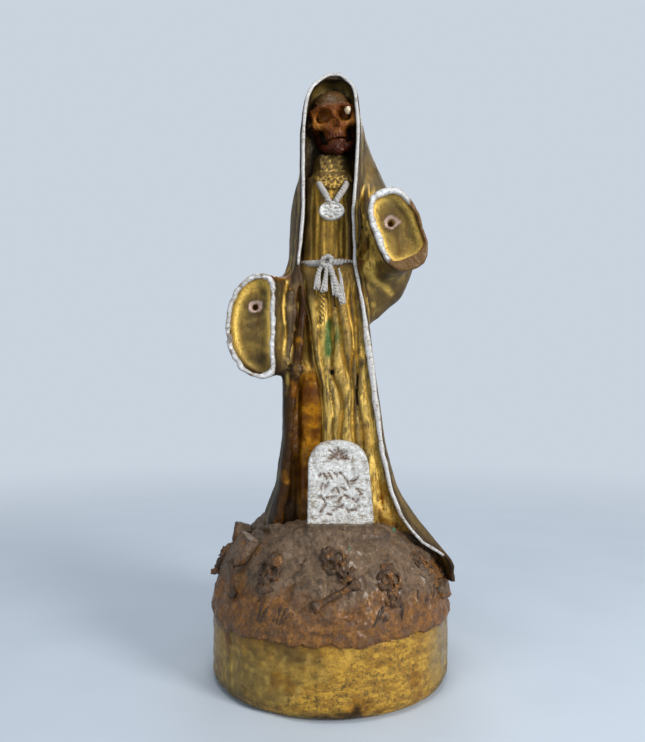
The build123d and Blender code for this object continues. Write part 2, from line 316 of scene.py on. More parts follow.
def swept(path, half_wide, half_deep, facing=(0, -1, 0), sides=12, closed=False):
    """Points and faces of a round-ended band along a path; half_deep lies along facing."""
    path = np.asarray(path, float)
    count = len(path)
    half_wide = np.broadcast_to(half_wide, count)
    half_deep = np.broadcast_to(half_deep, count)
    ahead = np.roll(path, -1, axis=0) - np.roll(path, 1, axis=0)
    if not closed:
        ahead[0], ahead[-1] = path[1] - path[0], path[-1] - path[-2]
    ahead /= np.linalg.norm(ahead, axis=1, keepdims=True)
    out = np.broadcast_to(np.asarray(facing, float), (count, 3))
    out = out - ahead * (out * ahead).sum(1, keepdims=True)
    out /= np.linalg.norm(out, axis=1, keepdims=True) + 1e-9
    across = np.cross(ahead, out)
    angle = np.linspace(0, 2 * math.pi, sides, endpoint=False)
    ring = (
        path[:, None]
        + across[:, None] * (np.cos(angle)[None, :, None] * half_wide[:, None, None])
        + out[:, None] * (np.sin(angle)[None, :, None] * half_deep[:, None, None])
    )
    points = ring.reshape(-1, 3)
    faces = []
    last = count if closed else count - 1
    for i in range(last):
        j = (i + 1) % count
        for k in range(sides):
            n = (k + 1) % sides
            faces.append((i * sides + k, i * sides + n, j * sides + n, j * sides + k))
    if not closed:
        tips = (path[0] - ahead[0] * half_deep[0] * 0.6, path[-1] + ahead[-1] * half_deep[-1] * 0.6)
        points = np.vstack([points, tips])
        first, end = count * sides, count * sides + 1
        base = (count - 1) * sides
        for k in range(sides):
            n = (k + 1) % sides
            faces.append((first, n, k))
            faces.append((end, base + k, base + n))
    return points, faces


def joined(name, parts):
    """One object from several (points, faces) pairs."""
    points, faces, start = [], [], 0
    for p, f in parts:
        points.append(p)
        faces.extend([[i + start for i in face] for face in f])
        start += len(p)
    return new_object(name, np.vstack(points), faces)


def curve_points(points, count):
    """Points spaced along a smooth curve through a few control points."""
    points = np.asarray(points, float)
    last = len(points) - 1
    at = np.linspace(0, last, count)
    i = np.minimum(at.astype(int), last - 1)
    t = (at - i)[:, None]
    a, b, c, d = (points[np.clip(i + k, 0, last)] for k in (-1, 0, 1, 2))
    return 0.5 * (2 * b + (c - a) * t + (2 * a - 5 * b + 4 * c - d) * t**2 + (3 * b - a - 3 * c + d) * t**3)


def twisted(path, strand_radius, lay, turn_length, closed=False, sides=8):
    """Two strands of rope that wind around a path."""
    path = np.asarray(path, float)
    gaps = np.linalg.norm(np.diff(path, axis=0), axis=1)
    length = np.concatenate([[0], np.cumsum(gaps)])
    total = length[-1] + (np.linalg.norm(path[0] - path[-1]) if closed else 0)
    turns = max(1, round(total / turn_length))
    ahead = np.roll(path, -1, axis=0) - np.roll(path, 1, axis=0)
    if not closed:
        ahead[0], ahead[-1] = path[1] - path[0], path[-1] - path[-2]
    ahead /= np.linalg.norm(ahead, axis=1, keepdims=True)
    front, right = np.array([0, -1.0, 0]), np.array([1.0, 0, 0])
    out = front - ahead * (ahead @ front)[:, None]
    weak = np.linalg.norm(out, axis=1) < 0.2
    out[weak] = right - ahead[weak] * (ahead[weak] @ right)[:, None]
    out /= np.linalg.norm(out, axis=1, keepdims=True)
    across = np.cross(ahead, out)
    parts = []
    for s in (0, 1):
        phase = 2 * math.pi * (turns * length / total + s / 2)
        line = path + lay * (np.cos(phase)[:, None] * across + np.sin(phase)[:, None] * out)
        parts.append(swept(line, strand_radius, strand_radius, sides=sides, closed=closed))
    return parts


def mesh_arrays(piece):
    """Points and normals in millimetres, and edges, of an object's mesh."""
    mesh = piece.data
    points = np.zeros(len(mesh.vertices) * 3)
    mesh.vertices.foreach_get("co", points)
    normals = np.zeros(len(mesh.vertices) * 3)
    mesh.vertex_normals.foreach_get("vector", normals)
    edges = np.zeros(len(mesh.edges) * 2, np.int64)
    mesh.edges.foreach_get("vertices", edges)
    return points.reshape(-1, 3) / MM, normals.reshape(-1, 3), edges.reshape(-1, 2)


def set_points(piece, points):
    """Moves a mesh's points to places given in millimetres."""
    piece.data.vertices.foreach_set("co", (points * MM).ravel())
    piece.data.update()


def averaged(values, edges, rounds):
    """Each point's value averaged with its neighbours', round after round."""
    a = np.concatenate([edges[:, 0], edges[:, 1]])
    b = np.concatenate([edges[:, 1], edges[:, 0]])
    count = len(values)
    degree = np.bincount(a, minlength=count)[:, None] + 1
    values = values.reshape(count, -1)
    for _ in range(rounds):
        summed = [np.bincount(a, weights=column[b], minlength=count) for column in values.T]
        values = (np.stack(summed, axis=1) + values) / degree
    return values


def roughen(piece, *layers):
    """Moves points along their normals by fractal noise; each layer is (depth, size, seed)."""
    points, normals, _ = mesh_arrays(piece)
    push = np.zeros(len(points))
    for depth, size, seed in layers:
        shift = Vector((seed * 13.7, seed * 7.1, seed * 3.3))
        push += depth * np.array([noise.fractal(Vector(p) / size + shift, 1.0, 2.0, 3) for p in points])
    set_points(piece, points + normals * push[:, None])


def attribute(piece, name, values):
    """Stores one value a point for the materials to read."""
    layer = piece.data.attributes.new(name, "FLOAT", "POINT")
    layer.data.foreach_set("value", np.clip(values, 0, 1).astype(np.float32))


def mark_relief(piece, rounds, depth, wide=0):
    """Attributes hollow and ridge, 1 in grooves and on crests, and deep, 1 in broad recesses."""
    points, normals, edges = mesh_arrays(piece)
    smooth = averaged(points, edges, rounds)
    gap = ((smooth - points) * normals).sum(1)
    attribute(piece, "hollow", gap / depth)
    attribute(piece, "ridge", -gap / depth)
    if wide:
        gap = ((averaged(smooth, edges, wide) - points) * normals).sum(1)
        attribute(piece, "deep", gap / 1.6)
    return points, normals


# ---------------------------------------------------------------- cloak and sleeves

# Folds hollowed into the outside, as (bearing at the top, at the foot, top height, half width, depth), where
# a bearing is in degrees from the back
CLOAK_FOLDS = (
    (-62, -80, 190, 9, 1.9),
    (-42, -56, 232, 7, 3.0),
    (-18, -28, 250, 8, 4.0),
    (1, -5, 218, 6, 2.8),
    (17, 20, 266, 8, 3.8),
    (38, 47, 205, 8, 3.2),
    (62, 76, 170, 8, 2.0),
    (-104, -112, 150, 6, 0.8),
    (92, 98, 140, 7, 1.0),
)


# Upright grooves in the sleeves' inner walls by side, as (x at a height of 200, slope, depth)
ROOT_GROOVES = {
    -1: ((-25.2, 0.01, 1.5), (-22.2, 0.0, 1.9)),
    1: ((15.2, 0.02, 2.0), (17.9, 0.035, 2.4), (20.6, 0.03, 1.6)),
}
GROOVE_WIDTH = 0.9
# How far the cloak and the sleeves reach into each other at their seams
SEAM_LAP = 0.9


# Slanting creases under the left sleeve, as (start, end, depth)
ELBOW_CREASES = (
    ((14, 0, 210), (30, 0, 204), 1.6),
    ((20, 0, 200), (31, 0, 191), 0.9),
)


def groove_line(groove_x, lean, z):
    """Where an upright groove runs at each height, slightly wavy."""
    return groove_x + lean * (z - 200) + 0.6 * np.sin(z / 4 + groove_x)


def cloak_power(z):
    """How boxy the cloak's level ovals are: rounder below the waist than at the hood."""
    return np.interp(z, (180, 215), (2.2, 2.9))


# The bare resin edge below the waist on the figure's right: (height, x, distance forward, radius)
LIP_BEAD = (
    (62, -30.5, 15, 1.6),
    (80, -24.2, 24.5, 1.7),
    (99, -20.7, 25.8, 1.7),
    (119, -19.8, 25, 1.7),
    (138, -18.6, 23.8, 2.0),
    (148, -17.2, 23.2, 2.3),
    (162, -15.4, 22.2, 2.3),
    (172, -14.4, 21.2, 2.1),
    (181, -13.4, 20.2, 1.8),
    (192, -13.6, 18.4, 1.3),
    (201, -14.6, 17.4, 1.1),
)


def leaned(dx, dz):
    """Distances across and along the left cuff, which leans."""
    u = dx * math.cos(LEFT_CUFF_LEAN) + dz * math.sin(LEFT_CUFF_LEAN)
    return u, dz * math.cos(LEFT_CUFF_LEAN) - dx * math.sin(LEFT_CUFF_LEAN)


def cuff_axes(x, z):
    """Coordinates across and along the left cuff, from the middle of its mouth."""
    return leaned(x - LEFT_BELL[-1][1], z - LEFT_BELL[-1][2])


def sleeve_mouth(side, x, z, y=None):
    """Outline across a sleeve, negative inside; without y it is the outline at the mouth."""
    if y is None:
        ahead = MOUTH[side]
        cx, cz, rx, rz = (column[0] for column in read_rows(BELL[side], np.array([ahead])))
    else:
        ahead = -y
        cx, cz, rx, rz = (column[None, :, None] for column in read_rows(BELL[side], ahead.ravel()))
    if side < 0:
        flat = np.interp(ahead, (-6, 10, MOUTH[side]), (-4, -13, RIGHT_CUFF_FLAT))
        return soft_max(oval_field(x, z, cx, cz, rx, rz, 2.1), x - flat, 5)
    u, v = leaned(x - cx, z - cz)
    return oval_field(u + 0.05 * v, v, 0, 0, rx, rz, 2.7)


def rim_width(side, x, z):
    """The left cuff's rim is thin on its outer side and broad at its foot."""
    if side < 0:
        return RIM_WIDTH - 0.2
    u, v = cuff_axes(x, z)
    wide = RIM_WIDTH + 0.7 - 1.7 * step_up(u, 2, 8) * step_down(v, 3, 10)
    return wide + 4.0 * step_up(-v + 0.25 * u, 11, 16)


def carve_cuff(field, p, side):
    """Sinks the pocket, the worn crater and the peg hole into a sleeve's flat end."""
    x, y, z = p
    hole_x, hole_z = HOLE[side]
    floor = MOUTH[side] - POCKET_DEPTH
    within_rim = sleeve_mouth(side, x, z) + rim_width(side, x, z) - 0.3
    within_wall = sleeve_mouth(side, x, z, y) + CUFF_WALL
    pocket = soft_max(np.maximum(within_rim, within_wall), floor + y, 1.2)
    crater = ellipsoid(p, (hole_x + 0.4, -floor, hole_z + 0.3), (3.1, 0.9, 2.8))
    bore = capsule(p, (hole_x, -floor - 2, hole_z), (hole_x, -floor + 8, hole_z), HOLE_RADIUS)
    for hollow in (pocket, crater, bore):
        field = soft_max(field, -hollow, 0.5)
    return field


def sampled(grid, low, step, points):
    """Values of a grid at the places nearest to some points."""
    index = np.round((points - low) / step).astype(int)
    index = np.clip(index, 0, np.array(grid.shape) - 1)
    return grid[tuple(index.T)]


def lip_flare(x, y, z):
    """How far the cloak's left side is turned outwards near its lip."""
    return read_line(LIP_FLARE, z) * step_down(y, -16, -2) * step_up(x, 6, 18)


def cloak_outside(p, unturned):
    """The cloak's outer surface, hollowed by its folds."""
    x, y, z = p
    heights = z.ravel()
    cx, cy, rx, ry = read_rows(CLOAK_OVALS, heights)
    outside = oval_field(unturned, y, cx, cy, rx, ry, cloak_power(heights))
    outside = soft_max(outside, z - FIGURE_TOP - 0.8, 7)
    bearing = np.degrees(np.arctan2(x - cx, y - cy))
    for top_bearing, foot_bearing, top, half, depth in CLOAK_FOLDS:
        middle = np.interp(z, (60, top), (foot_bearing, top_bearing))
        sway = 2.5 * np.sin(z / 17 + top_bearing)
        deep = depth * step_down(z, top - 60, top) * step_up(z, 40, 66)
        outside += deep * bell(bearing - middle - sway, half)
    return outside


def cloak_hollow(p, unturned, outside):
    """The space inside the cloak, which is solid behind the body and close behind the head."""
    _, y, z = p
    heights = z.ravel()
    cx, cy, rx, ry = read_rows(CLOAK_OVALS, heights)
    hollow = oval_field(unturned, y, cx, cy, rx - CLOAK_WALL, ry - CLOAK_WALL, cloak_power(heights))
    hollow = soft_max(hollow, z - FIGURE_TOP + CLOAK_WALL, 3)
    lining = np.interp(z, (190, 240, 262), (2, 0, -2.5))
    hollow = soft_max(hollow, y - lining + 0.5 * ripple(p, 8, 3), 5)
    return soft_max(hollow, outside + 2.0, 1.5)


def sleeve_field(p, side):
    """A draped arm and its bell cuff, before the pocket is carved."""
    x, y, z = p
    rows = ARM_OVALS[side]
    drape = oval_field(x, y, *read_rows(rows, z.ravel()))
    drape = soft_max(drape, rows[0][0] - z, 6)
    drape = soft_max(drape, z - rows[-1][0], 6)
    sleeve = sleeve_mouth(side, x, z, y)
    behind = MOUTH[side] + y
    # Shallow lengthwise folds that run from the body to the cuff
    middle_x, middle_z, fold_depth = (-24, 178, 0.35) if side < 0 else (26, 218, 0.9)
    around = np.arctan2(z - middle_z, x - middle_x)
    fold = bell(np.sin(around * 2.5 + 0.6 + y * 0.02), 0.35)
    sleeve = sleeve + fold_depth * fold * step_up(behind, 3, 24) * step_down(y, -12, 0)
    rumple = 0.5 * ripple((x, y / 1.5, z / 3.5), 3.6, 5 + side) + 0.5 * ripple((x, y, z / 2), 8, 8 + side)
    sleeve = sleeve + step_up(behind, 2, 9) * (x < 22 if side > 0 else x > -27) * rumple
    sleeve = soft_max(soft_max(sleeve, -behind, 0.9), y - 6, 6)
    arm = soft_min(drape, sleeve, 9)
    if side < 0:
        return arm
    sag = rod_chain(p, ((35, -4, 222), (35, 1, 208), (30, 3, 194), (22, 2, 184)), (4, 6, 6, 4))
    return soft_min(arm, sag, 8)


def clear_of_trim(robe, p):
    """Keeps the left sleeve off the trim on the cloak's lip."""
    x, y, z = p
    edge = lip_path(1, 60, 296, 240)
    edge_x, edge_y = (np.interp(z.ravel(), edge[:, 2], edge[:, k]) for k in (0, 1))
    return soft_max(robe, -np.maximum(np.maximum(x - edge_x - 1.7, y - edge_y), -x), 0.8)


def creased(robe, p):
    """Grooves beside the roots of the sleeves, and creases that run from the lip to the left elbow."""
    x, y, z = p
    for side, grooves in ROOT_GROOVES.items():
        foot, top = ((154, 164), (192, 198)) if side < 0 else ((204, 214), (236, 246))
        tall = step_up(z, *foot) * step_down(z, *top)
        near = tall * step_up(MOUTH[side] + y, 3, 8) * step_down(y, -7, -1)
        for groove_x, lean, deep in grooves:
            robe = robe + deep * near * bell(x - groove_line(groove_x, lean, z), GROOVE_WIDTH)
    for start, end, deep in ELBOW_CREASES:
        gap = capsule((x, 0.0, z), start, end, 0) / 2.4
        robe = robe + deep * bell(gap, 1) * step_down(y, -8, 4) * step_up(MOUTH[1] + y, 3, 8)
    return robe


def lip_bead(p):
    """The thick bare edge of the cloak below the waist on the figure's right."""
    x, y, z = p
    bead_x, bead_y, bead_r = read_rows(LIP_BEAD, z.ravel(), 1.0)
    bead = np.hypot(x - bead_x, y + bead_y) - bead_r + 0.25 * ripple(p, 6, 11)
    return soft_max(soft_max(bead, z - LIP_BEAD[-1][0], 3), LIP_BEAD[0][0] - z, 2)


def robe_fields():
    """Fields of the cloak and of each sleeve, meeting along hidden seams, with their shared grid."""
    p, low, step = block((-55, -41, 46), (68, 48, 302), 0.8)
    x, y, z = p
    unturned = x - lip_flare(x, y, z)
    outside = cloak_outside(p, unturned)
    shell = soft_max(outside, -y - read_line(CLOAK_FRONT, z), 1.2)
    both = np.minimum(sleeve_field(p, -1), sleeve_field(p, 1))
    robe = clear_of_trim(soft_min(shell, both, 8), p)
    robe = soft_max(creased(robe, p), -cloak_hollow(p, unturned, outside), 1.0)
    knob = ellipsoid(p, (-16.6, -24.0, 153), (3.2, 2.8, 4.2)) + 0.7 * ripple(p, 3, 12)
    robe = soft_min(soft_min(robe, lip_bead(p), 1.6), knob, 1.5)
    for side in (-1, 1):
        robe = carve_cuff(robe, p, side)
    robe = robe + 0.12 * ripple(p, 9, 4)

    seam = (both - shell) / 2
    pieces = {"cloak": np.maximum(robe + 0.08, -seam - SEAM_LAP)}
    for side, name in ((-1, "right_sleeve"), (1, "left_sleeve")):
        part = np.maximum(robe, seam - SEAM_LAP)
        pieces[name] = np.maximum(part, -side * (x - 3))
    return pieces, low, step


def lip_path(side, low, high, count):
    """Points along the middle of the cloak's front lip, from low to high on one side."""
    heights = np.linspace(low, high, count)
    cx, cy, rx, ry = read_rows(CLOAK_OVALS, heights)
    y = -read_line(CLOAK_FRONT, heights)
    inset = CLOAK_WALL / 2
    power = cloak_power(heights)
    share = np.clip(1 - np.abs((y - cy) / (ry - inset)) ** power, 0.0, 1)
    x = cx + side * (rx - inset) * share ** (1 / power)
    x = x + lip_flare(x, y, heights)
    return np.stack([x, y, heights], axis=1)


def band(path, wide, deep, seed, lift):
    """A trim that follows a path, raised off it by lift, with an uneven width and edge."""
    count = len(path)
    rng = np.random.default_rng(seed)
    wobble = np.convolve(rng.normal(size=count + 8), np.ones(9) / 3, mode="valid")
    path = path + np.array([0, -lift, 0])
    path[:, 0] += 0.12 * wobble
    width = wide * (1 + 0.1 * np.convolve(rng.normal(size=count + 4), np.ones(5) / 2.2, mode="valid"))
    return swept(path, np.clip(width, wide * 0.55, wide * 1.35), deep, sides=14)


def build_cloak():
    pieces, low, step = robe_fields()
    made = {name: sculpt(name, field, low, step) for name, field in pieces.items()}
    for piece in made.values():
        piece.data.set_sharp_from_angle(angle=math.radians(62))
    return made


# Where the trim crosses over the hood
CROWN_POINTS = ((-1.6, -10.6, 299.2), (2.2, -10.4, 299.9), (6.0, -10.6, 299.2))


def build_trim():
    left = lip_path(-1, WAIST - 1, 296, 60)
    right = lip_path(1, 62, 296, 150)
    crown = curve_points((*left[-3:-1], *CROWN_POINTS, *right[-3:-1][::-1]), 60)
    path = np.vstack([left[:-3], crown[10:-10], right[:-3][::-1]])
    gaps = np.concatenate([[0], np.cumsum(np.linalg.norm(np.diff(path, axis=0), axis=1))])
    even = np.linspace(0, gaps[-1], 420)
    path = np.stack([np.interp(even, gaps, column) for column in path.T], axis=1)
    heights = (60, 78, 95, 125, 140, 155, 168, 177, 190, 290)
    taper = np.interp(path[:, 2], heights, (0.65, 0.75, 1.0, 1.15, 1.45, 1.6, 1.5, 1.0, 0.8, 0.85))
    return new_object("cloak_trim", *band(path, taper, 0.75, 21, 0.7))


def build_cuff_rim(side):
    """Raised rim round a sleeve's mouth."""
    name = {-1: "right_cuff_rim", 1: "left_cuff_rim"}[side]
    low, high = box_mm(name)
    p, low, step = block(low - 3, high + 3, 0.5)
    x, y, z = p
    outline = sleeve_mouth(side, x, z) + 0.35 * ripple((x, 0.0, z), 11, 7 + side)
    half = rim_width(side, x, z) / 2
    ring = np.abs(outline + half) - half
    field = soft_max(ring, np.abs(y + MOUTH[side]) - 1.1, 1.0) + 0.12 * ripple(p, 3.5, 9 + side)
    return sculpt(name, field, low, step)


# ---------------------------------------------------------------- dress

# Creases of the skirt as (half width, depth, *places from the top down as (x, height))
CREASES = (
    (0.85, 2.4, (-12, 200), (-13, 187), (-11.2, 181), (-9.6, 175), (-8.8, 166), (-8.4, 157), (-6.2, 150),
     (-4.4, 145), (-3.9, 121), (-2.4, 80)),
    (0.5, 1.2, (-6.6, 199), (-6.8, 188), (-6.3, 176), (-5.4, 169), (-4.8, 160), (-3.6, 150), (-2.6, 142)),
    (0.95, 2.3, (-1.9, 200), (-0.7, 184), (0.9, 172), (0.9, 163), (0.3, 157), (1.2, 149.5), (4.2, 143.6),
     (5.4, 135.6), (4.6, 121), (5.5, 80)),
    (0.45, 1.6, (-1.6, 150), (-1.1, 144.4), (0.9, 135.6), (1.2, 121), (1.8, 80)),
    (0.8, 2.0, (2.9, 200), (3.0, 186), (4.4, 174), (5.8, 163), (7, 156.5), (8.2, 150), (8.8, 142)),
    (0.95, 2.1, (8.6, 200), (8.7, 186), (10.4, 174), (11.2, 163), (10.4, 157), (9.8, 151.7), (10.4, 143.6),
     (10.8, 135.6), (11, 121), (12, 80)),
    (0.7, 1.9, (11.4, 200), (11.8, 180), (12.9, 165), (12.8, 152), (12.6, 142), (13.3, 135.6), (14.3, 130.7),
     (15, 121), (18, 80)),
    (0.7, 1.0, (15.6, 156), (16.8, 146), (18.6, 132), (20.4, 118), (26, 80)),
)
# The bodice's creases as (x at the belt, x at the chest, half width, depth)
BODICE_CREASES = (
    (-6.2, -6.4, 1.0, 2.0),
    (-3.4, -2.4, 0.6, 0.45),
    (0.4, 1.0, 0.5, 0.3),
    (2.6, 3.4, 0.6, 0.5),
    (4.9, 5.6, 0.9, 1.9),
    (8.0, 7.6, 0.8, 0.9),
    (-9.6, -8.8, 0.9, 0.9),
)


def crease_x(line, z):
    """Where a line of (x, height) places, listed from the top down, runs at each height."""
    x_places, heights = np.array(line[::-1]).T
    return np.interp(z, heights, x_places)


def panel_edge(z):
    """Where the smooth panel on the figure's right meets the pleats."""
    return crease_x(CREASES[0][2:], z)


def skirt_bulge(x, z):
    """How far the skirt falls back towards its sides."""
    half = np.interp(z, (80, 120, 150, 205), (27, 23, 20, 14))
    return 2.4 * np.abs((x - 3) / half) ** 2.2


def skirt_relief(x, z):
    """How far forward the skirt's front stands at each place."""
    relief = read_line(CLOAK_FRONT, z) + 0.2 - skirt_bulge(x, z)
    for half_width, depth, *line in CREASES:
        top, foot = line[0][1], line[-1][1]
        middle = crease_x(line, z) + 0.3 * np.sin(z / 4.3 + depth * 9)
        strong = step_down(z, top - 12, top) * step_up(z, foot, foot + 9)
        wide = half_width * (0.85 + 0.3 * np.sin(z / 9 + half_width * 20))
        groove = 0.9 * bell(x - middle, 0.8 * wide) + 0.4 * bell(x - middle, 2.2 * wide)
        relief = relief - depth * strong * groove
    edge = panel_edge(z)
    # The smooth panel left of the pleats, the dark hollow over it and the groove beside the lip
    relief = relief - 2.6 * step_up(edge - x, -0.6, 1.6) * step_down(z, 146, 158) * step_up(z, 84, 96)
    relief = relief - 6.0 * bell(x - edge + 3.0, 2.0) * step_up(z, 150, 160) * step_down(z, 180, 190)
    relief = relief - 1.8 * bell(x + 15.8, 1.5) * step_down(z, 140, 150)
    # Rumpled cloth beside the slot
    relief = relief + 1.6 * spot(x - 15.2, z - 156, 1.8, 3.2) + 1.0 * spot(x - 13.8, z - 162, 1.2, 2.0)
    # A flat braided end of cord under the knot
    cord = np.exp(-(((x + 4.2 - 0.03 * (z - 184)) / 1.5) ** 4))
    cord = cord * step_up(z, 174, 177) * step_down(z, 192, 196)
    weave = 0.5 * np.sin((z + 1.2 * x) * 2.6) + 0.35 * np.sin((z - 1.6 * x) * 2.9)
    relief = relief + cord * (1.1 + weave)
    return relief + 0.06 * ripple((x, 0.0, z / 3.5), 2.4, 31) + 0.22 * ripple((x, 0.0, z / 2), 7, 32)


def bodice_relief(x, z):
    """How far forward the bodice and neck stand."""
    relief = np.interp(z, (WAIST, 236, 246, 252, 262), (16.8, 16.8, 15.0, 11.2, 8.6)) - 0.03 * (x - 0.5) ** 2
    for foot, chest, half_width, depth in BODICE_CREASES:
        middle = np.interp(z, (WAIST, 244), (foot, chest)) + 0.3 * np.sin(z / 5 + foot)
        fade = step_down(z, 238, 250)
        relief = relief - depth * fade * bell(x - middle, half_width)
    relief = relief - 2.6 * step_up(np.abs(x + 0.6), 5.4, 8.0) * step_down(z, 238, 248)
    neck = step_up(z, 247, 253)
    relief = relief - neck * 9 * step_up(np.abs(x - 1.2), 6.0, 12.5)
    relief = relief + neck * 0.3 * ripple((x, 0.0, z), 2.6, 34)
    return relief + 0.09 * ripple((x, 0.0, z / 3), 4.4, 33)


def build_dress():
    """The skirt and the bodice, parted at the waist."""
    p, low, step = block((-34, -30, 70), (46, 8, 264), 0.5)
    x, y, z = p
    heights = z.ravel()
    cx, cy, rx, ry = read_rows(CLOAK_OVALS, heights)
    overlap = 0.7 - 1.8 * step_up(y, -16, -7)
    unturned = x - lip_flare(x, y, z)
    inside = oval_field(unturned, y, cx, cy, rx - CLOAK_WALL + overlap, ry, cloak_power(heights))
    inside = np.maximum(inside, y - 5)
    skirt = soft_max(inside, -y - skirt_relief(x, z), 0.6)
    slot = rod_chain(p, ((12.2, -25, 150), (12.8, -25, 143), (13.4, -25, 135)), (2.2, 3.6, 1.6))
    slot = np.maximum(slot, np.abs(x - 12.8) - 0.75)
    pit = capsule(p, (0.6, -26, 151.4), (0.8, -20, 151.2), 1.0)
    skirt = soft_max(skirt, -np.minimum(slot, pit), 0.5)
    skirt = np.maximum(np.maximum(skirt, z - WAIST), 72 - z)
    bodice = soft_max(inside, -y - bodice_relief(x, z), 0.6)
    bodice = np.maximum(np.maximum(bodice, z - 261), WAIST - z)
    bodice = np.maximum(bodice, np.abs(x - 1.2) - np.interp(z, (246, 256), (20, 12)))
    return sculpt("skirt", skirt, low, step), sculpt("bodice", bodice, low, step)


def build_collar():
    """A bib of lace, thick with small bobbles, laid over the top of the bodice."""
    p, low, step = block((-11, -19, 238), (14, 2, 255), 0.33)
    x, y, z = p
    rng = np.random.default_rng(12)
    bobbles = np.zeros((x.size, 1, z.size), np.float32)
    for _ in range(240):
        bx, bz = rng.uniform(-9.5, 12), rng.uniform(239.5, 251.5)
        size, tall = rng.uniform(0.55, 1.05), rng.uniform(0.5, 1.2)
        bobbles = np.maximum(bobbles, tall * np.exp(-(((x - bx) ** 2 + (z - bz) ** 2) / size**2)))
    foot = 241.2 + 0.055 * (x - 1.4) ** 2 + 0.5 * np.sin(x * 2.1)
    top = 250.2 - 0.02 * (x - 1.4) ** 2 + 0.4 * np.sin(x * 1.7 + 1)
    relief = bodice_relief(x, z) + 0.5 + bobbles
    edge = np.maximum(np.maximum(foot - z, z - top), np.abs(x - 1.4) - 9.8)
    field = np.maximum(soft_max(-y - relief, edge, 1.0), y + relief - bobbles - 3.0)
    return sculpt("lace_collar", field, low, step)


# ---------------------------------------------------------------- cords and medallion


def build_belt():
    """A cord round the waist."""
    turn = np.linspace(0, 2 * math.pi, 240, endpoint=False)
    ring = [-0.8 + 14.4 * np.sin(turn), -5 - 13.3 * np.cos(turn), WAIST + 0.3 * np.sin(3 * turn)]
    path = np.stack(ring, axis=1)
    return joined("rope_belt", twisted(path, 1.05, 0.8, 3.6, closed=True, sides=9))


def build_knot():
    """Three loops of cord wound through each other."""
    middle = Vector((-2.0, -20.0, WAIST + 0.4))
    turn = np.linspace(0, 2 * math.pi, 90, endpoint=False)
    loops = []
    for wide, tall, tip, phase in ((3.1, 1.7, 0.5, 0.0), (2.0, 2.7, -0.7, 1.1), (2.5, 2.1, 1.2, 2.3)):
        a, b = wide * np.cos(turn), tall * np.sin(turn)
        across = middle.x + a * math.cos(tip) - b * math.sin(tip)
        ahead = middle.y - 0.9 * np.sin(turn * 2 + phase)
        up = middle.z + a * math.sin(tip) + b * math.cos(tip)
        path = np.stack([across, ahead, up], axis=1)
        loops += twisted(path, 0.62, 0.42, 3.0, closed=True, sides=8)
    return joined("belt_knot", loops)


# Ends of the rope hanging from the knot: control points and half widths at the top and the frayed tip
TASSELS = (
    (((-3.4, -19.6, 203.6), (-5.4, -20.2, 201), (-6.3, -20.8, 196), (-6.2, -21.2, 191.8)), 1.2, 1.5),
    (((-1.8, -20.4, 203.4), (-2.2, -21.2, 199), (-2.7, -21.6, 195), (-3.4, -21.8, 190.6)), 1.1, 1.3),
    (((-0.6, -20.4, 203.4), (0.9, -21.2, 199), (2.2, -21.6, 194), (3.6, -21.8, 188.4)), 1.5, 2.2),
    (((2.2, -21.6, 195), (3.6, -21.8, 191), (5.0, -21.8, 187.5), (5.8, -21.8, 184.6)), 1.1, 1.3),
    (((4.0, -20.4, 201.8), (5.0, -20.9, 197), (5.6, -21.4, 191), (6.0, -21.6, 186.6)), 0.5, 0.8),
)


def build_tassels():
    """Cord ends that hang from the knot and fray towards their tips."""
    parts = []
    for n, (control, top, tip) in enumerate(TASSELS):
        rng = np.random.default_rng(40 + n)
        path = curve_points(control, 26)
        share = np.linspace(0, 1, 26)
        parts += twisted(path, top * 0.62, top * 0.45, 3.4, sides=8)
        for spread in (-1.0, -0.45, 0.1, 0.6, 1.0):
            fray = path[4:].copy()
            grow = step_up(share[4:], 0.15, 0.9)
            fray[:, 0] += spread * tip * grow + 0.15 * np.sin(share[4:] * 9 + spread * 5)
            fray[:, 1] -= 0.25 + rng.uniform(-0.2, 0.3) * grow
            fray[:, 2] -= rng.uniform(-1.1, 0.9) * grow
            thick = 0.55 * (1.15 - 0.4 * share[4:])
            parts.append(swept(fray, thick, 0.42, sides=8))
    return joined("belt_tassels", parts)


def build_necklace():
    """Two cords that run down to the medallion."""
    parts = []
    for cord_x in ((-5.6, -4.2, -2.2, -0.8), (8.2, 6.8, 4.6, 2.6)):
        cord = zip(cord_x, (-14.6, -16.2, -17.2, -17.8), (244.6, 241.8, 238.2, 234.8))
        parts += twisted(curve_points(list(cord), 40), 1.05, 0.6, 3.0, sides=9)
    return joined("necklace", parts)


def build_medallion():
    """An oval plaque with a raised edge and a plain rosette."""
    middle_x, middle_y, middle_z = 0.6, -17.4, 230.4
    p, low, step = block((-7.5, -20.5, 224), (8.6, -14, 237), 0.22)
    x, y, z = p
    u, v = x - middle_x, z - middle_z
    oval = oval_field(u, v, 0, 0, 6.3, 4.7)
    reach = np.hypot(u / 1.34, v)
    turn = np.arctan2(v, u / 1.34)
    petals = 0.75 * bell(reach - 2.1, 0.95) * (0.5 + 0.5 * np.cos(8 * turn)) ** 0.8
    centre = 0.85 * bell(reach, 0.85)
    rim = 0.6 * bell(oval + 0.7, 0.5)
    dots = 0.25 * bell(reach - 3.7, 0.3) * (0.5 + 0.5 * np.cos(22 * turn))
    face = middle_y - 0.6 - petals - centre - rim - dots - 0.06 * ripple((x, 0.0, z), 1.3, 50)
    field = soft_max(oval, np.maximum(face - y, y - middle_y - 1.2), 0.5)
    return sculpt("medallion", field, low, step)


# ---------------------------------------------------------------- skulls


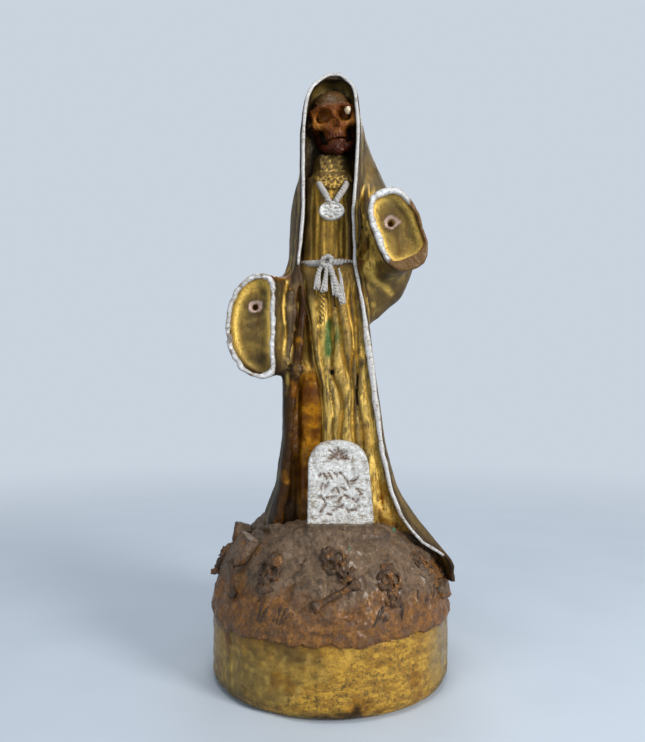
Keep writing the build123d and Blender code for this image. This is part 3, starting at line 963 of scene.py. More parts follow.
def skull_field(p):
    """A plain textbook skull without its jaw, about 24 tall, looking along -y from the origin."""
    x, y, z = p
    side = np.abs(x)
    q = (side, y, z)
    bone = ellipsoid(p, (0, 2.2, 3.8), (9.3, 11.4, 8.4))
    bone = soft_max(bone, -ellipsoid(q, (10.9, -3.6, 2.2), (3.4, 5.2, 5.5)), 2.5)
    brow = rod_chain(q, ((0.6, -8.6, 3.2), (4.4, -9.0, 3.9), (8.6, -5.6, 2.3)), (1.5, 1.5, 1.3))
    bone = soft_min(bone, brow, 2.2)
    bone = soft_min(bone, ellipsoid(p, (0, -5.4, -4.4), (5.4, 4.8, 5.6)), 2.5)
    cheek = ((4.0, -7.8, -3.8), (7.6, -6.4, -3.2), (8.8, -3.4, -2.4), (9.0, 1.0, -1.8))
    cheek = rod_chain(q, cheek, (1.7, 1.7, 1.2, 0.9))
    bone = soft_min(bone, cheek, 1.4)
    outer = capsule(q, (8.5, -5.8, 2.4), (8.1, -6.0, -3.0), 1.1)
    bone = soft_min(bone, outer, 1.2)
    bridge = capsule(p, (0, -8.8, 3.0), (0, -10.3, -0.9), 1.2, 0.95)
    bone = soft_min(bone, bridge, 1.3)
    socket = ellipsoid(q, (4.5, -9.0, 0.3), (3.2, 4.8, 2.8))
    bone = soft_max(bone, -socket, 0.9)
    nose = ellipsoid(q, (0.75, -9.9, -3.1), (1.15, 2.7, 2.0))
    bone = soft_max(bone, -nose, 0.5)
    bone = soft_max(bone, -ellipsoid(q, (6.4, -7.6, -7.6), (2.6, 5.0, 2.8)), 1.2)
    for n in range(-5, 6):
        turn = n * 0.27
        tx, ty = 4.3 * math.sin(turn), -5.3 - 4.4 * math.cos(turn)
        tooth = capsule(p, (tx, ty, -8.5), (tx * 0.97, ty + 0.2, -6.3), 0.62, 0.5)
        bone = soft_min(bone, tooth, 0.25)
    return bone


def jaw_field(p):
    """The lower jaw that belongs under skull_field."""
    q = (np.abs(p[0]), p[1], p[2])
    rows = ((7.9, 0.2, -3.4), (7.3, -1.4, -9.8), (4.6, -7.2, -12.8), (0.0, -9.6, -13.6))
    bone = rod_chain(q, rows, (1.2, 1.4, 1.5, 1.8))
    bone = soft_min(bone, ellipsoid(p, (0, -9.7, -14.1), (2.3, 1.7, 1.6)), 1.2)
    gum = rod_chain(q, ((0.2, -9.1, -11.9), (3.4, -7.7, -11.7), (4.4, -4.6, -11.4)), (0.9, 0.85, 0.8))
    bone = soft_min(bone, gum, 1.0)
    for n in range(-4, 5):
        turn = n * 0.28
        tx, ty = 3.9 * math.sin(turn), -5.1 - 4.2 * math.cos(turn)
        bone = soft_min(bone, capsule(p, (tx, ty, -11.8), (tx, ty - 0.15, -9.75), 0.62, 0.55), 0.2)
    return bone


def turned(points, matrix):
    """Points moved by a matrix."""
    m = np.array(matrix)
    return points @ m[:3, :3].T + m[:3, 3]


HEAD_PLACE = (
    Matrix.Translation((1.6, -2.6, 279.6))
    @ Matrix.Rotation(math.radians(-8), 4, "Y")
    @ Matrix.Rotation(math.radians(5), 4, "X")
    @ Matrix.Diagonal((1.2, 1.17, 1.22, 1))
)


def build_head():
    """The skull and its jaw, set in the hood."""
    p, low, step = block((-13, -14, -18), (13, 16, 16), 0.32)
    rough = 0.16 * ripple(p, 3.2, 60) + 0.08 * ripple(p, 1.4, 61)
    made = []
    for name, field in (("skull", skull_field(p)), ("jaw", jaw_field(p))):
        points, quads = field_mesh(field + rough, low, step)
        made.append(new_object(name, turned(points, HEAD_PLACE), quads))
    return made


def build_bead():
    """A worn pearl pressed into one eye socket."""
    low, high = box_mm("eye_bead")
    middle = (low + high) / 2
    p, low, step = block(middle - 3.5, middle + 3.5, 0.2)
    field = ellipsoid(p, middle, (1.75, 1.7, 2.3)) + 0.09 * ripple(p, 1.8, 70)
    return sculpt("eye_bead", field, low, step)


# ---------------------------------------------------------------- mound and what lies in it

# What lies in the mound, where a bearing is in degrees from the front and grows towards +X.
# Skulls as (bearing, height, roll, size)
GRAVE_SKULLS = (
    (-32, 61, -8, 1.0),
    (2, 66, 42, 1.0),
    (29, 57, -4, 1.05),
    (56, 61, 42, 0.8),
    (-92, 55, 0, 1.0),
    (88, 50, 10, 0.7),
    (140, 60, 25, 1.0),
    (-150, 56, -15, 1.0),
    (178, 63, 0, 0.95),
)
# Bones as (bearing, height, roll, length)
GRAVE_BONES = ((2, 54, 28, 20), (-58, 54, -60, 15), (110, 58, -20, 17), (-118, 62, 35, 16), (160, 46, 5, 15))
# Stones as (bearing, height, roll, lengths of the sides)
GRAVE_ROCKS = (
    (-84, 70, 10, (15, 10, 10)),
    (-60, 66, -12, (17, 15, 8)),
    (-112, 46, 25, (14, 9, 7)),
    (70, 46, 15, (11, 8, 7)),
    (125, 48, 40, (13, 10, 8)),
    (-170, 46, 10, (15, 9, 8)),
)
# Fans of ribs as (bearing, height, count)
RIB_FANS = ((-27, 43, 8), (25, 43, 8), (49, 47, 8), (-140, 44, 8))


def mound_radius(height):
    return float(read_line(MOUND_PROFILE, height))


def on_mound(bearing, height, sink=0.0, roll=0.0, lean=0.0):
    """Matrix of a place on the mound: local x is level, y up and z outwards, in millimetres."""
    turn = math.radians(bearing)
    out = Vector((math.sin(turn), -math.cos(turn), 0))
    level = Vector((0, 0, 1)).cross(out)
    axes = Matrix((level, Vector((0, 0, 1)), out)).transposed().to_4x4()
    seat = Matrix.Translation(out * (mound_radius(height) - sink) + Vector((0, 0, height)))
    tilt = Matrix.Rotation(math.radians(-lean), 4, "X")
    return seat @ axes @ tilt @ Matrix.Rotation(math.radians(roll), 4, "Z")


def local_points(p, matrix):
    """Grid coordinates seen from a placed part."""
    back = np.array(matrix.inverted())
    x, y, z = p
    return [row[0] * x + row[1] * y + row[2] * z + row[3] for row in back[:3]]


def build_mound():
    low = MOUND_LOW - (4, 4, 1)
    high = MOUND_HIGH + (4, 4, 6)
    p, low, step = block(low, high, 0.75)
    x, y, z = p
    radius = read_rows(MOUND_PROFILE, z.ravel(), blur=1.5)[0]
    calm = step_up(z, PLINTH_TOP + 1, PLINTH_TOP + 14)
    skirting = (PLINTH_RADIUS - 0.05) * (1 - step_up(z.ravel(), PLINTH_TOP + 1, PLINTH_TOP + 8))
    radius = np.maximum(radius, skirting)
    field = (np.hypot(x, y) - radius) * 0.8
    field = soft_max(field, z - MOUND_TOP - 1, 4)
    field += calm * (0.9 * ripple(p, 24, 80) + 0.5 * ripple(p, 11, 81) + 0.22 * ripple(p, 5, 82))
    # Low swellings of earth around whatever is half buried
    for bearing, height, roll, size in GRAVE_SKULLS:
        seat = on_mound(bearing, height, 3.5, roll, 25)
        field = soft_min(field, ellipsoid(local_points(p, seat), (0, -1, 0), (8.2 * size, 11 * size, 4.0)), 4)
    for bearing, height, _ in RIB_FANS:
        seat = on_mound(bearing, height, 2.5)
        field = soft_min(field, ellipsoid(local_points(p, seat), (0, 0, 0), (9, 7, 2.4)), 4)
    ledge = ((-37, -15, 74), (-33, -22, 76), (-27, -27, 77.5), (-20, -31, 77))
    ledge = rod_chain(p, ledge, (3.4, 3.8, 3.2, 2.2))
    field = soft_min(field, ledge + 0.5 * ripple(p, 4, 83), 2.5)
    # Sunk at the figure's right, where the robe's hem flares over it
    field += 4.0 * spot(x + 36, y + 10, 12, 20) * step_up(z, 64, 74)
    step_bank = ellipsoid(p, (4, -35, 75.6), (24, 9.5, 5.6))
    field = soft_min(field, step_bank, 5)
    # The brown coat laps a little over the plinth's top edge
    field = np.maximum(field, PLINTH_TOP - 1.6 + 1.1 * ripple((x, y, 0.0), 26, 84) - z)
    mound = sculpt("earth_mound", field, low, step)
    roughen(mound, (0.7, 8, 8), (0.35, 3.2, 1), (0.2, 1.1, 2))
    return mound


def build_grave_skulls():
    p, low, step = block((-13, -14, -18), (13, 16, 16), 0.62)
    field = np.minimum(skull_field(p), jaw_field((p[0], p[1], p[2] - 1.2)))
    field = field + 0.5 * ripple(p, 4.5, 90) + 0.25 * ripple(p, 2.2, 91)
    points, quads = field_mesh(field, low, step)
    # From looking along -y with z up to looking along z with y up
    upright = Matrix(((1, 0, 0, 0), (0, 0, 1, 0), (0, -1, 0, 0), (0, 0, 0, 1)))
    parts = []
    for bearing, height, roll, size in GRAVE_SKULLS:
        grow = Matrix.Diagonal((0.58 * size, 0.52 * size, 0.76 * size, 1))
        parts.append((turned(points, on_mound(bearing, height, 1.6, roll, 24) @ upright @ grow), quads))
    made = joined("grave_skulls", parts)
    roughen(made, (0.3, 1.6, 3))
    return made


def build_grave_bones():
    """Thigh bones with two knobs at each end."""
    parts = []
    for n, (bearing, height, roll, length) in enumerate(GRAVE_BONES):
        half = length / 2
        p, low, step = block((-half - 4, -4.5, -4), (half + 4, 4.5, 4), 0.4)
        shaft = ((-half, 0, 0), (-half * 0.3, 0.25, 0), (half * 0.4, -0.2, 0), (half, 0, 0))
        bone = rod_chain(p, shaft, (1.7, 1.3, 1.3, 1.6))
        for end in (-half, half):
            for side in (-1, 1):
                knob = ellipsoid(p, (end, side * 1.35, 0.3), (1.75, 1.55, 1.7))
                bone = soft_min(bone, knob, 1.0)
        bone = bone + 0.16 * ripple(p, 2.4, 95 + n)
        points, quads = field_mesh(bone, low, step)
        parts.append((turned(points, on_mound(bearing, height, -0.5, roll, 12)), quads))
    return joined("grave_bones", parts)


def build_grave_ribs():
    """Fans of curved ribs low on the mound."""
    parts = []
    for n, (bearing, height, count) in enumerate(RIB_FANS):
        rng = np.random.default_rng(100 + n)
        seat = on_mound(bearing, height, 0.1)
        for k in range(count):
            across = (k - (count - 1) / 2) * 1.9 + rng.uniform(-0.5, 0.5)
            length = rng.uniform(6, 12)
            lean = rng.uniform(0.1, 0.9)
            bend = rng.uniform(0.2, 0.8)
            rib = (
                (across - lean * 4, -length / 2, -0.4),
                (across - lean, -length / 6, bend * 0.75),
                (across + lean * 1.5, length / 6, bend * 0.75),
                (across + lean * 4, length / 2, -0.5),
            )
            path = turned(curve_points(rib, 22), seat)
            thick = 0.65 + 0.12 * np.sin(np.linspace(0, 9, 22) + k)
            parts.append(swept(path, thick, thick * 0.9, facing=tuple(seat.col[2][:3]), sides=9))
    made = joined("grave_ribs", parts)
    roughen(made, (0.22, 1.3, 4))
    return made


def build_grave_rocks():
    """Stones cut to rough facets."""
    parts = []
    for n, (bearing, height, roll, size) in enumerate(GRAVE_ROCKS):
        rng = np.random.default_rng(120 + n)
        half = np.array(size) / 2
        p, low, step = block(-half - 3, half + 3, 0.5)
        gaps = [np.abs(a) - h for a, h in zip(p, half)]
        rock = np.maximum(np.maximum(gaps[0], gaps[1]), gaps[2])
        for _ in range(11):
            way = rng.normal(size=3)
            way /= np.linalg.norm(way)
            reach = float(np.abs(way * half).sum()) * rng.uniform(0.62, 0.8)
            rock = soft_max(rock, sum(float(w) * a for w, a in zip(way, p)) - reach, 0.8)
        rock = rock + 0.18 * ripple(p, 4.5, 130 + n) + 0.10 * ripple(p, 1.8, 140 + n)
        points, quads = field_mesh(rock, low, step)
        parts.append((turned(points, on_mound(bearing, height, -0.4, roll, 14)), quads))
    return joined("grave_rocks", parts)


def build_gravestone():
    low, high = box_mm("gravestone")
    foot, arch_z, burst_z = 80.0, 106.0, 112.0
    top_z = high[2]
    slope = -0.035
    middle_x = 4.0
    front, back = low[1], high[1]
    p, low, step = block(low - 3, high + 3, 0.36)
    x, y, z = p
    u = (x - middle_x) + slope * -(z - 95)
    half = np.interp(z, (80, 107), (15.6, 14.2))
    v = z - arch_z
    arch = np.where(v > 0, oval_field(u, v, 0, 0, 14.2, top_z - arch_z - 0.3, 2.35), np.abs(u) - half)
    slab = soft_max(arch, foot + 0.05 * u - z, 0.8)
    slab = slab + 0.14 * ripple((x, 0.0, z), 5, 150)
    slab = soft_max(slab, np.abs(y - (front + back) / 2) - abs(back - front) / 2, 1.3)

    # A plain burst of rays, and shallow chisel strokes under it
    flat = (u, 0.0, z)
    cuts = np.full(np.broadcast_shapes(u.shape, z.shape), 9.0)
    for n in range(9):
        turn = math.radians(-12 + n * 25.5)
        inner, outer = 2.1, 4.9 if n % 2 == 0 else 3.9
        a = (inner * math.cos(turn), 0, burst_z + inner * math.sin(turn))
        b = (outer * math.cos(turn), 0, burst_z + outer * math.sin(turn) * 0.9)
        cuts = np.minimum(cuts, capsule(flat, a, b, 0.42, 0.22))
    cuts = np.minimum(cuts, np.abs(np.hypot(u, z - burst_z) - 1.1) - 0.25)
    rng = np.random.default_rng(151)
    for row_z in (102.5, 97.5, 92.5, 87.8):
        at = -10.5 + rng.uniform(0, 2)
        while at < 9.5:
            run = rng.uniform(0.4, 2.4)
            rise = rng.uniform(-2.4, 2.4)
            start = row_z + rng.uniform(-2.2, 2.2)
            cuts = np.minimum(cuts, capsule(flat, (at, 0, start), (at + run, 0, start + rise), 0.36, 0.2))
            at += run + rng.uniform(0.7, 1.6)
    carved = front + 0.55 * step_down(cuts, -0.05, 0.45) - 0.05 * ripple((x, 0.0, z), 1.6, 152)
    slab = soft_max(slab, carved - y + 0.02, 0.25)
    stone = sculpt("gravestone", slab, low, step)
    roughen(stone, (0.12, 2.2, 5))
    points, _, _ = mesh_arrays(stone)
    pu = (points[:, 0] - middle_x) - slope * (points[:, 2] - 95)
    near = sampled(cuts, low, step, points * (1, 0, 1) + (0, low[1], 0))
    ink = step_down(near, -0.1, 0.5) * (points[:, 1] < front + 2) * (np.abs(pu) < 14)
    attribute(stone, "ink", ink)
    attribute(stone, "soil", 0.55 + 0.45 * step_up(np.abs(pu), 9, 14))
    return stone


def build_gravestone_step():
    low, high = box_mm("gravestone_step")
    middle, half = (low + high) / 2, (high - low) / 2 - (1.2, 1.5, 0.6)
    p, low, step = block(low - 3, high + 3, 0.5)
    x, y, z = p
    sides = [np.abs(a - m) - h for a, m, h in zip((x, y, z), middle, half)]
    slab = soft_max(soft_max(sides[0], sides[1], 3.5), sides[2] + 0.2, 1.0)
    slab = slab + 0.3 * ripple(p, 9, 160)
    made = sculpt("gravestone_step", slab, low, step)
    roughen(made, (0.2, 1.8, 6))
    return made


def build_plinth():
    p, low, step = block(PLINTH_LOW - 3, PLINTH_HIGH + 3, 0.9)
    x, y, z = p
    side = np.hypot(x, y) - PLINTH_RADIUS + 0.5
    side = side + 0.35 * ripple((x, y, 0.0), 34, 170) + 0.14 * ripple(p, 12, 171)
    edge = np.interp(z, (PLINTH_LOW[2], PLINTH_LOW[2] + 5), (0.9, 0))
    field = soft_max(side + edge, PLINTH_LOW[2] - z, 5.5)
    field = soft_max(field, z - PLINTH_TOP, 3)
    made = sculpt("plinth", field, low, step)
    roughen(made, (0.12, 4, 7))
    return made


# ---------------------------------------------------------------- materials


class Nodes:
    """A material built up in coats: colour is what has been laid so far, normal its relief."""

    def __init__(self, name):
        self.material = bpy.data.materials.new(name)
        self.material.use_nodes = True
        self.tree = self.material.node_tree
        self.tree.nodes.clear()
        self.place = self.add("ShaderNodeTexCoord").outputs["Object"]
        self.colour = None
        self.normal = None

    def add(self, kind, **settings):
        node = self.tree.nodes.new(kind)
        for key, value in settings.items():
            setattr(node, key, value)
        return node

    def feed(self, node, inputs):
        """Links or sets inputs, where a plain colour has three channels."""
        for key, value in inputs.items():
            socket = node.inputs[key]
            if isinstance(value, bpy.types.NodeSocket):
                self.tree.links.new(value, socket)
            else:
                socket.default_value = (*value, 1) if socket.type == "RGBA" else value
        return node

    def noise(self, size_mm, detail, rough, stretch=(1, 1, 1), shift=0.0):
        """Fractal noise between 0 and 1 whose features are about size_mm across."""
        place = self.add("ShaderNodeMapping")
        self.feed(place, {"Vector": self.place, "Scale": stretch, "Location": (shift, shift * 2, shift * 3)})
        inputs = {"Vector": place.outputs[0], "Scale": 1 / (size_mm * MM)}
        inputs |= {"Detail": detail, "Roughness": rough}
        return self.feed(self.add("ShaderNodeTexNoise"), inputs).outputs["Fac"]

    def mark(self, name):
        return self.add("ShaderNodeAttribute", attribute_name=name).outputs["Fac"]

    def maths(self, operation, a, b, clamp=False):
        node = self.add("ShaderNodeMath", operation=operation, use_clamp=clamp)
        return self.feed(node, {0: a, 1: b}).outputs[0]

    def product(self, *shares):
        """Shares multiplied together and kept between 0 and 1."""
        total = shares[0]
        for share in shares[1:]:
            total = self.maths("MULTIPLY", total, share, clamp=True)
        return total

    def window(self, value, low, high, to_low=0.0, to_high=1.0):
        """Value read from low..high onto to_low..to_high with soft ends."""
        node = self.add("ShaderNodeMapRange", interpolation_type="SMOOTHSTEP")
        return self.feed(node, {"Value": value, 1: low, 2: high, 3: to_low, 4: to_high}).outputs[0]

    def mix(self, share, a, b):
        """Colour a where share is 0, and b where it is 1."""
        return self.feed(self.add("ShaderNodeMix", data_type="RGBA"), {0: share, 6: a, 7: b}).outputs[2]

    def coat(self, colour, *shares):
        """Lays a colour over what is there, as strongly as the product of the shares."""
        self.colour = self.mix(self.product(*shares), self.colour, colour)

    def emboss(self, *layers):
        """Adds bumps to the relief; each layer is (height, strength, distance in millimetres)."""
        for height, strength, distance_mm in layers:
            inputs = {"Height": height, "Strength": strength, "Distance": distance_mm * MM}
            if self.normal is not None:
                inputs["Normal"] = self.normal
            self.normal = self.feed(self.add("ShaderNodeBump"), inputs).outputs[0]

    def finish(self, inputs):
        shader = self.add("ShaderNodeBsdfPrincipled")
        self.feed(shader, {"Base Color": self.colour, "Normal": self.normal, **inputs})
        output = self.add("ShaderNodeOutputMaterial")
        self.feed(output, {"Surface": shader.outputs[0]})
        return self.material


AMBER = (0.185, 0.066, 0.0025)
AMBER_DEEP = (0.085, 0.025, 0.002)
AMBER_BRIGHT = (0.34, 0.145, 0.004)
DARK_AMBER_AND_SHADE = (0.018, 0.009, 0.0035)
DARK_RESIN_AND_SHADE = (0.028, 0.009, 0.004)
GOLD = (0.52, 0.295, 0.038)
GOLD_PALE = (0.92, 0.62, 0.135)
GOLD_WORN = (0.27, 0.14, 0.022)
OLIVE = (0.19, 0.125, 0.032)
UMBER = (0.05, 0.030, 0.011)
RECESS_DARK = (0.040, 0.022, 0.009)
CRACK = (0.045, 0.028, 0.012)
PIT = (0.06, 0.045, 0.022)
BLOT = (0.035, 0.026, 0.016)
SOOT = (0.020, 0.015, 0.011)
PLASTER = (0.46, 0.33, 0.28)
GREEN = (0.021, 0.080, 0.012)
PAINTED_SHEEN_GREY = (0.20, 0.17, 0.125)
WHITE = (0.74, 0.75, 0.74)
EARTH = (0.150, 0.096, 0.054)
# Scales along x, y and z that draw noise out down the folds
DRAWN_DOWN = (1, 1, 0.22)
CRACKED_DOWN = (1, 1, 0.13)


def scaled(colour, share):
    return tuple(channel * share for channel in colour)


def gold_paint(name, gold=GOLD, olive=OLIVE, wear=0.5, size=1.0, grain=DRAWN_DOWN):
    """Old gold paint, darker in the hollows and worn through to amber resin."""
    n = Nodes(name)
    broad = n.noise(16 * size, 5, 0.62, shift=0.3)
    middle = n.noise(4.5 * size, 6, 0.68, shift=0.7)
    fine = n.noise(1.1 * size, 5, 0.72, shift=1.1)
    streak = n.noise(3.0 * size, 5, 0.7, stretch=grain, shift=1.5)
    wash = n.noise(2.4 * size, 9, 0.8, stretch=grain, shift=2.3)
    grit = n.noise(0.4, 3, 0.7, shift=1.9)
    n.colour = n.mix(n.window(broad, 0.36, 0.60), olive, gold)
    # Olive where marked dull: dull olive paint, and painted shade on the figure's right shoulder, in the hood
    # lining and at the plinth's ends
    n.coat(n.mix(n.window(middle, 0.4, 0.65), olive, scaled(olive, 1.35)), n.mark("dull_paint_and_shade"), 0.9)
    n.coat(UMBER, n.window(streak, 0.54, 0.72, 0, 0.55))
    n.coat(scaled(olive, 0.7), n.window(wash, 0.51, 0.57, 0, 0.5))
    crest = n.mix(n.window(fine, 0.30, 0.46), gold, GOLD_PALE)
    n.coat(crest, n.mark("crest"), n.window(middle, 0.3, 0.55, 0.6, 1.0))
    n.coat(crest, n.mark("ridge"), 0.7)
    n.coat(UMBER, n.mark("hollow"), n.window(fine, 0.3, 0.6, 0.6, 1.0))
    # Darker in broad recesses
    n.coat(RECESS_DARK, n.mark("deep"), n.window(middle, 0.3, 0.6, 0.55, 0.9))
    # Fine cracks that run down the folds
    crack = n.window(n.noise(1.5 * size, 6, 0.66, stretch=CRACKED_DOWN, shift=9.3), 0.55, 0.60)
    crack = n.product(crack, n.mark("crest"))
    n.coat(CRACK, crack, 0.75)
    # Small dark specks where the paint has pitted, gathered in patches
    speck = n.window(n.noise(0.9, 7, 0.85, shift=2.9), 0.54, 0.58)
    speck = n.product(speck, n.window(broad, 0.42, 0.6, 0.35, 1.0))
    n.coat(SOOT, speck, 0.85)
    # Painted highlight where marked bright, on the plinth's front
    glow = n.mix(n.window(wash, 0.42, 0.55), (0.52, 0.30, 0.04), GOLD_WORN)
    n.coat(glow, n.mark("bright"), n.window(middle, 0.35, 0.5, 0.5, 1.0))
    n.coat(PIT, n.mark("bright"), n.window(n.noise(1.5, 7, 0.8, shift=8.1), 0.53, 0.58), 0.8)
    n.coat(BLOT, n.window(middle, 0.60, 0.68), n.window(fine, 0.42, 0.52), 0.7)
    # Bare resin where the paint has gone
    bare = n.maths("ADD", n.mark("amber"), n.window(streak, 0.60 - 0.08 * wear, 0.70, 0, 0.6 * wear))
    bare = n.product(bare, n.window(fine, 0.25, 0.5, 0.75, 1.0))
    resin = n.mix(n.window(broad, 0.36, 0.6), AMBER_DEEP, AMBER)
    lit = n.product(n.window(middle, 0.38, 0.6), n.window(broad, 0.40, 0.56))
    resin = n.mix(lit, resin, AMBER_BRIGHT)
    # Where marked dark: the lip bead's dark resin, the skirt panel's darker edge, a stain at the plinth's
    # foot, and painted shade in the hood, the grooves and the skirt's slot and pit
    n.coat(n.mix(n.mark("dark"), resin, DARK_RESIN_AND_SHADE), bare)
    n.coat(DARK_AMBER_AND_SHADE, n.mark("dark"), n.window(fine, 0.3, 0.6, 0.8, 1.0))
    n.coat(PLASTER, n.mark("pale"), 0.9)
    n.coat(GREEN, n.mark("green"), n.window(fine, 0.3, 0.5, 0.4, 1.0))
    # Painted grey sheen, a reflection of the pale room, laid under a real gloss coat
    sheen = n.product(n.mark("painted_sheen"), n.window(middle, 0.35, 0.65, 0.3, 1.0))
    n.coat(PAINTED_SHEEN_GREY, sheen, 0.4)
    n.emboss((middle, 0.4, 0.6), (streak, 0.3, 0.4), (fine, 0.5, 0.25))
    n.emboss((speck, 0.5, -0.15), (crack, 0.6, -0.25), (grit, 0.3, 0.08))
    covered = n.maths("SUBTRACT", 1.0, n.maths("MAXIMUM", bare, n.product(n.mark("crest"), 0.6)), clamp=True)
    dry = n.window(fine, 0.3, 0.7, 0.36, 0.55)
    return n.finish(
        {
            "Metallic": n.product(covered, 0.3),
            "Roughness": n.maths("SUBTRACT", dry, n.product(bare, 0.24)),
            "Specular IOR Level": n.maths("SUBTRACT", 0.24, n.product(bare, 0.14)),
            "Coat Weight": n.product(sheen, 0.8),
            "Coat Roughness": 0.22,
        }
    )


def white_paint(name):
    """Silvery white paint, chipped down to gold and resin, darker in its hollows."""
    n = Nodes(name)
    middle = n.noise(3.4, 5, 0.7, shift=2.1)
    fine = n.noise(0.9, 5, 0.72, shift=2.7)
    grit = n.noise(0.3, 3, 0.7, shift=3.3)
    scratch = n.noise(1.6, 5, 0.75, stretch=(0.35, 1, 1), shift=3.9)
    n.colour = n.mix(n.window(middle, 0.35, 0.65), (0.46, 0.46, 0.44), WHITE)
    n.coat((0.72, 0.74, 0.76), n.mark("bright"))
    n.coat((0.20, 0.15, 0.09), n.window(scratch, 0.56, 0.60, 0, 0.75))
    n.coat((0.15, 0.11, 0.065), n.mark("soil"), n.window(n.noise(1.6, 9, 0.85, shift=4.4), 0.51, 0.56), 0.8)
    n.coat((0.13, 0.095, 0.055), n.window(n.noise(1.1, 9, 0.88, shift=4.9), 0.555, 0.59), 0.8)
    n.coat((0.11, 0.078, 0.042), n.mark("hollow"), 0.6)
    chips = n.window(n.maths("ADD", n.product(middle, 0.5), n.product(fine, 0.5)), 0.575, 0.60)
    n.coat(n.mix(n.window(grit, 0.4, 0.6), (0.14, 0.08, 0.028), (0.33, 0.21, 0.06)), chips)
    n.coat(n.mix(n.window(fine, 0.35, 0.65), (0.080, 0.033, 0.003), (0.145, 0.071, 0.008)), n.mark("bare"))
    n.coat((0.10, 0.05, 0.025), n.mark("ink"), n.window(fine, 0.3, 0.55, 0.5, 1.0))
    n.emboss((middle, 0.35, 0.4), (fine, 0.6, 0.25), (chips, 0.5, -0.12))
    return n.finish({"Metallic": 0.1, "Roughness": n.window(fine, 0.3, 0.7, 0.34, 0.55)})


def earth_paint(name, earth=EARTH, amber=0.5):
    """Dusty brown paint rubbed down to glossy amber on the high spots."""
    n = Nodes(name)
    broad = n.noise(14, 5, 0.62, shift=4.1)
    middle = n.noise(4, 6, 0.72, shift=4.5)
    fine = n.noise(1.0, 6, 0.75, shift=5.3)
    strokes = n.noise(2.2, 5, 0.7, stretch=(0.4, 0.4, 1), shift=5.9)
    dots = n.noise(1.3, 10, 0.88, shift=6.7)
    scratch = n.noise(1.4, 8, 0.8, stretch=(1, 1, 0.3), shift=6.4)
    n.colour = n.mix(n.window(middle, 0.35, 0.65), earth, scaled(earth, 0.66))
    n.coat(scaled(earth, 1.35), n.window(strokes, 0.5, 0.7, 0, 0.45))
    dust = (earth[0] * 1.25, earth[1] * 1.3, earth[2] * 1.5)
    n.coat(dust, n.window(broad, 0.42, 0.58), n.window(fine, 0.4, 0.6, 0.3, 0.8))
    n.coat((0.036, 0.021, 0.012), n.mark("hollow"), 0.75)
    low_amber = n.product(n.mark("amber"), n.window(middle, 0.3, 0.55, 0.5, 1.0))
    spots = n.product(n.window(broad, 0.55 - 0.12 * amber, 0.66), n.window(middle, 0.42, 0.56), 0.3)
    rub = n.product(n.mark("ridge"), n.window(fine, 0.42, 0.58, 0.1, 0.6), amber)
    bare = n.maths("MAXIMUM", n.maths("MAXIMUM", low_amber, spots), rub)
    n.coat(n.mix(n.window(middle, 0.38, 0.62), (0.090, 0.032, 0.006), (0.23, 0.092, 0.010)), bare, 0.95)
    n.coat((0.03, 0.018, 0.010), n.window(fine, 0.60, 0.66), 0.6)
    n.coat((0.01, 0.22, 0.14), n.mark("green"), 0.9)
    n.coat((0.034, 0.019, 0.010), n.window(dots, 0.52, 0.56, 0, 0.6))
    n.coat((0.26, 0.19, 0.13), n.window(dots, 0.43, 0.40, 0, 0.35))
    n.coat((0.04, 0.022, 0.012), n.window(scratch, 0.54, 0.60, 0, 0.65))
    n.emboss((middle, 0.5, 0.7), (strokes, 0.4, 0.4), (scratch, 0.7, -0.4))
    n.emboss((fine, 0.6, 0.3), (dots, 0.6, -0.25))
    return n.finish(
        {
            "Roughness": n.maths("SUBTRACT", n.window(fine, 0.3, 0.7, 0.5, 0.7), n.product(bare, 0.3)),
            "Specular IOR Level": 0.22,
            "Coat Weight": n.window(middle, 0.4, 0.6, 0.05, 0.3),
            "Coat Roughness": 0.25,
        }
    )


def resin_bone(name):
    """Glossy amber resin with pink-brown paint rubbed over it."""
    n = Nodes(name)
    middle = n.noise(4.5, 5, 0.62, shift=6.1)
    fine = n.noise(1.0, 5, 0.7, shift=6.9)
    n.colour = n.mix(n.window(middle, 0.38, 0.6), (0.10, 0.023, 0.003), (0.17, 0.056, 0.008))
    n.coat((0.14, 0.07, 0.026), n.mark("ridge"), n.window(fine, 0.4, 0.62, 0.1, 0.45))
    # Painted orange highlights on the cheekbones
    n.coat(n.mix(n.window(fine, 0.35, 0.65), (0.34, 0.12, 0.014), (0.46, 0.20, 0.03)), n.mark("bright"))
    # Painted shade in the mouth and under the cheeks
    n.coat((0.022, 0.004, 0.002), n.mark("dark"), n.window(fine, 0.25, 0.55, 0.7, 1.0))
    # Dull brown crown, partly painted shade from the hood
    n.coat((0.070, 0.042, 0.015), n.mark("dull_paint_and_shade"), n.window(middle, 0.3, 0.6, 0.6, 1.0))
    n.coat((0.06, 0.012, 0.003), n.mark("hollow"), 0.65)
    n.emboss((middle, 0.3, 0.4), (fine, 0.4, 0.2))
    return n.finish(
        {
            "Roughness": n.window(fine, 0.3, 0.7, 0.26, 0.48),
            "Specular IOR Level": 0.12,
            "Coat Weight": 0.05,
            "Coat Roughness": 0.15,
            "Subsurface Weight": 0.2,
            "Subsurface Radius": (0.004, 0.0015, 0.0005),
            "Subsurface Scale": 1.0,
        }
    )


def pearl(name):
    n = Nodes(name)
    fine = n.noise(0.9, 4, 0.7, shift=7.7)
    n.colour = n.mix(n.window(fine, 0.4, 0.6), (0.62, 0.52, 0.36), (0.34, 0.24, 0.12))
    n.emboss((fine, 0.4, 0.15))
    return n.finish({"Roughness": 0.32, "Coat Weight": 0.5, "Coat Roughness": 0.1})


# ---------------------------------------------------------------- marks that the materials read


def patches(points, size, seed):
    """Irregular seeded values between about -1 and 1 at each point."""
    shift = Vector((seed * 5.3, seed * 9.1, seed * 2.7))
    return np.array([noise.fractal(Vector(p) / size + shift, 1.0, 2.0, 4) for p in points]) * 1.6


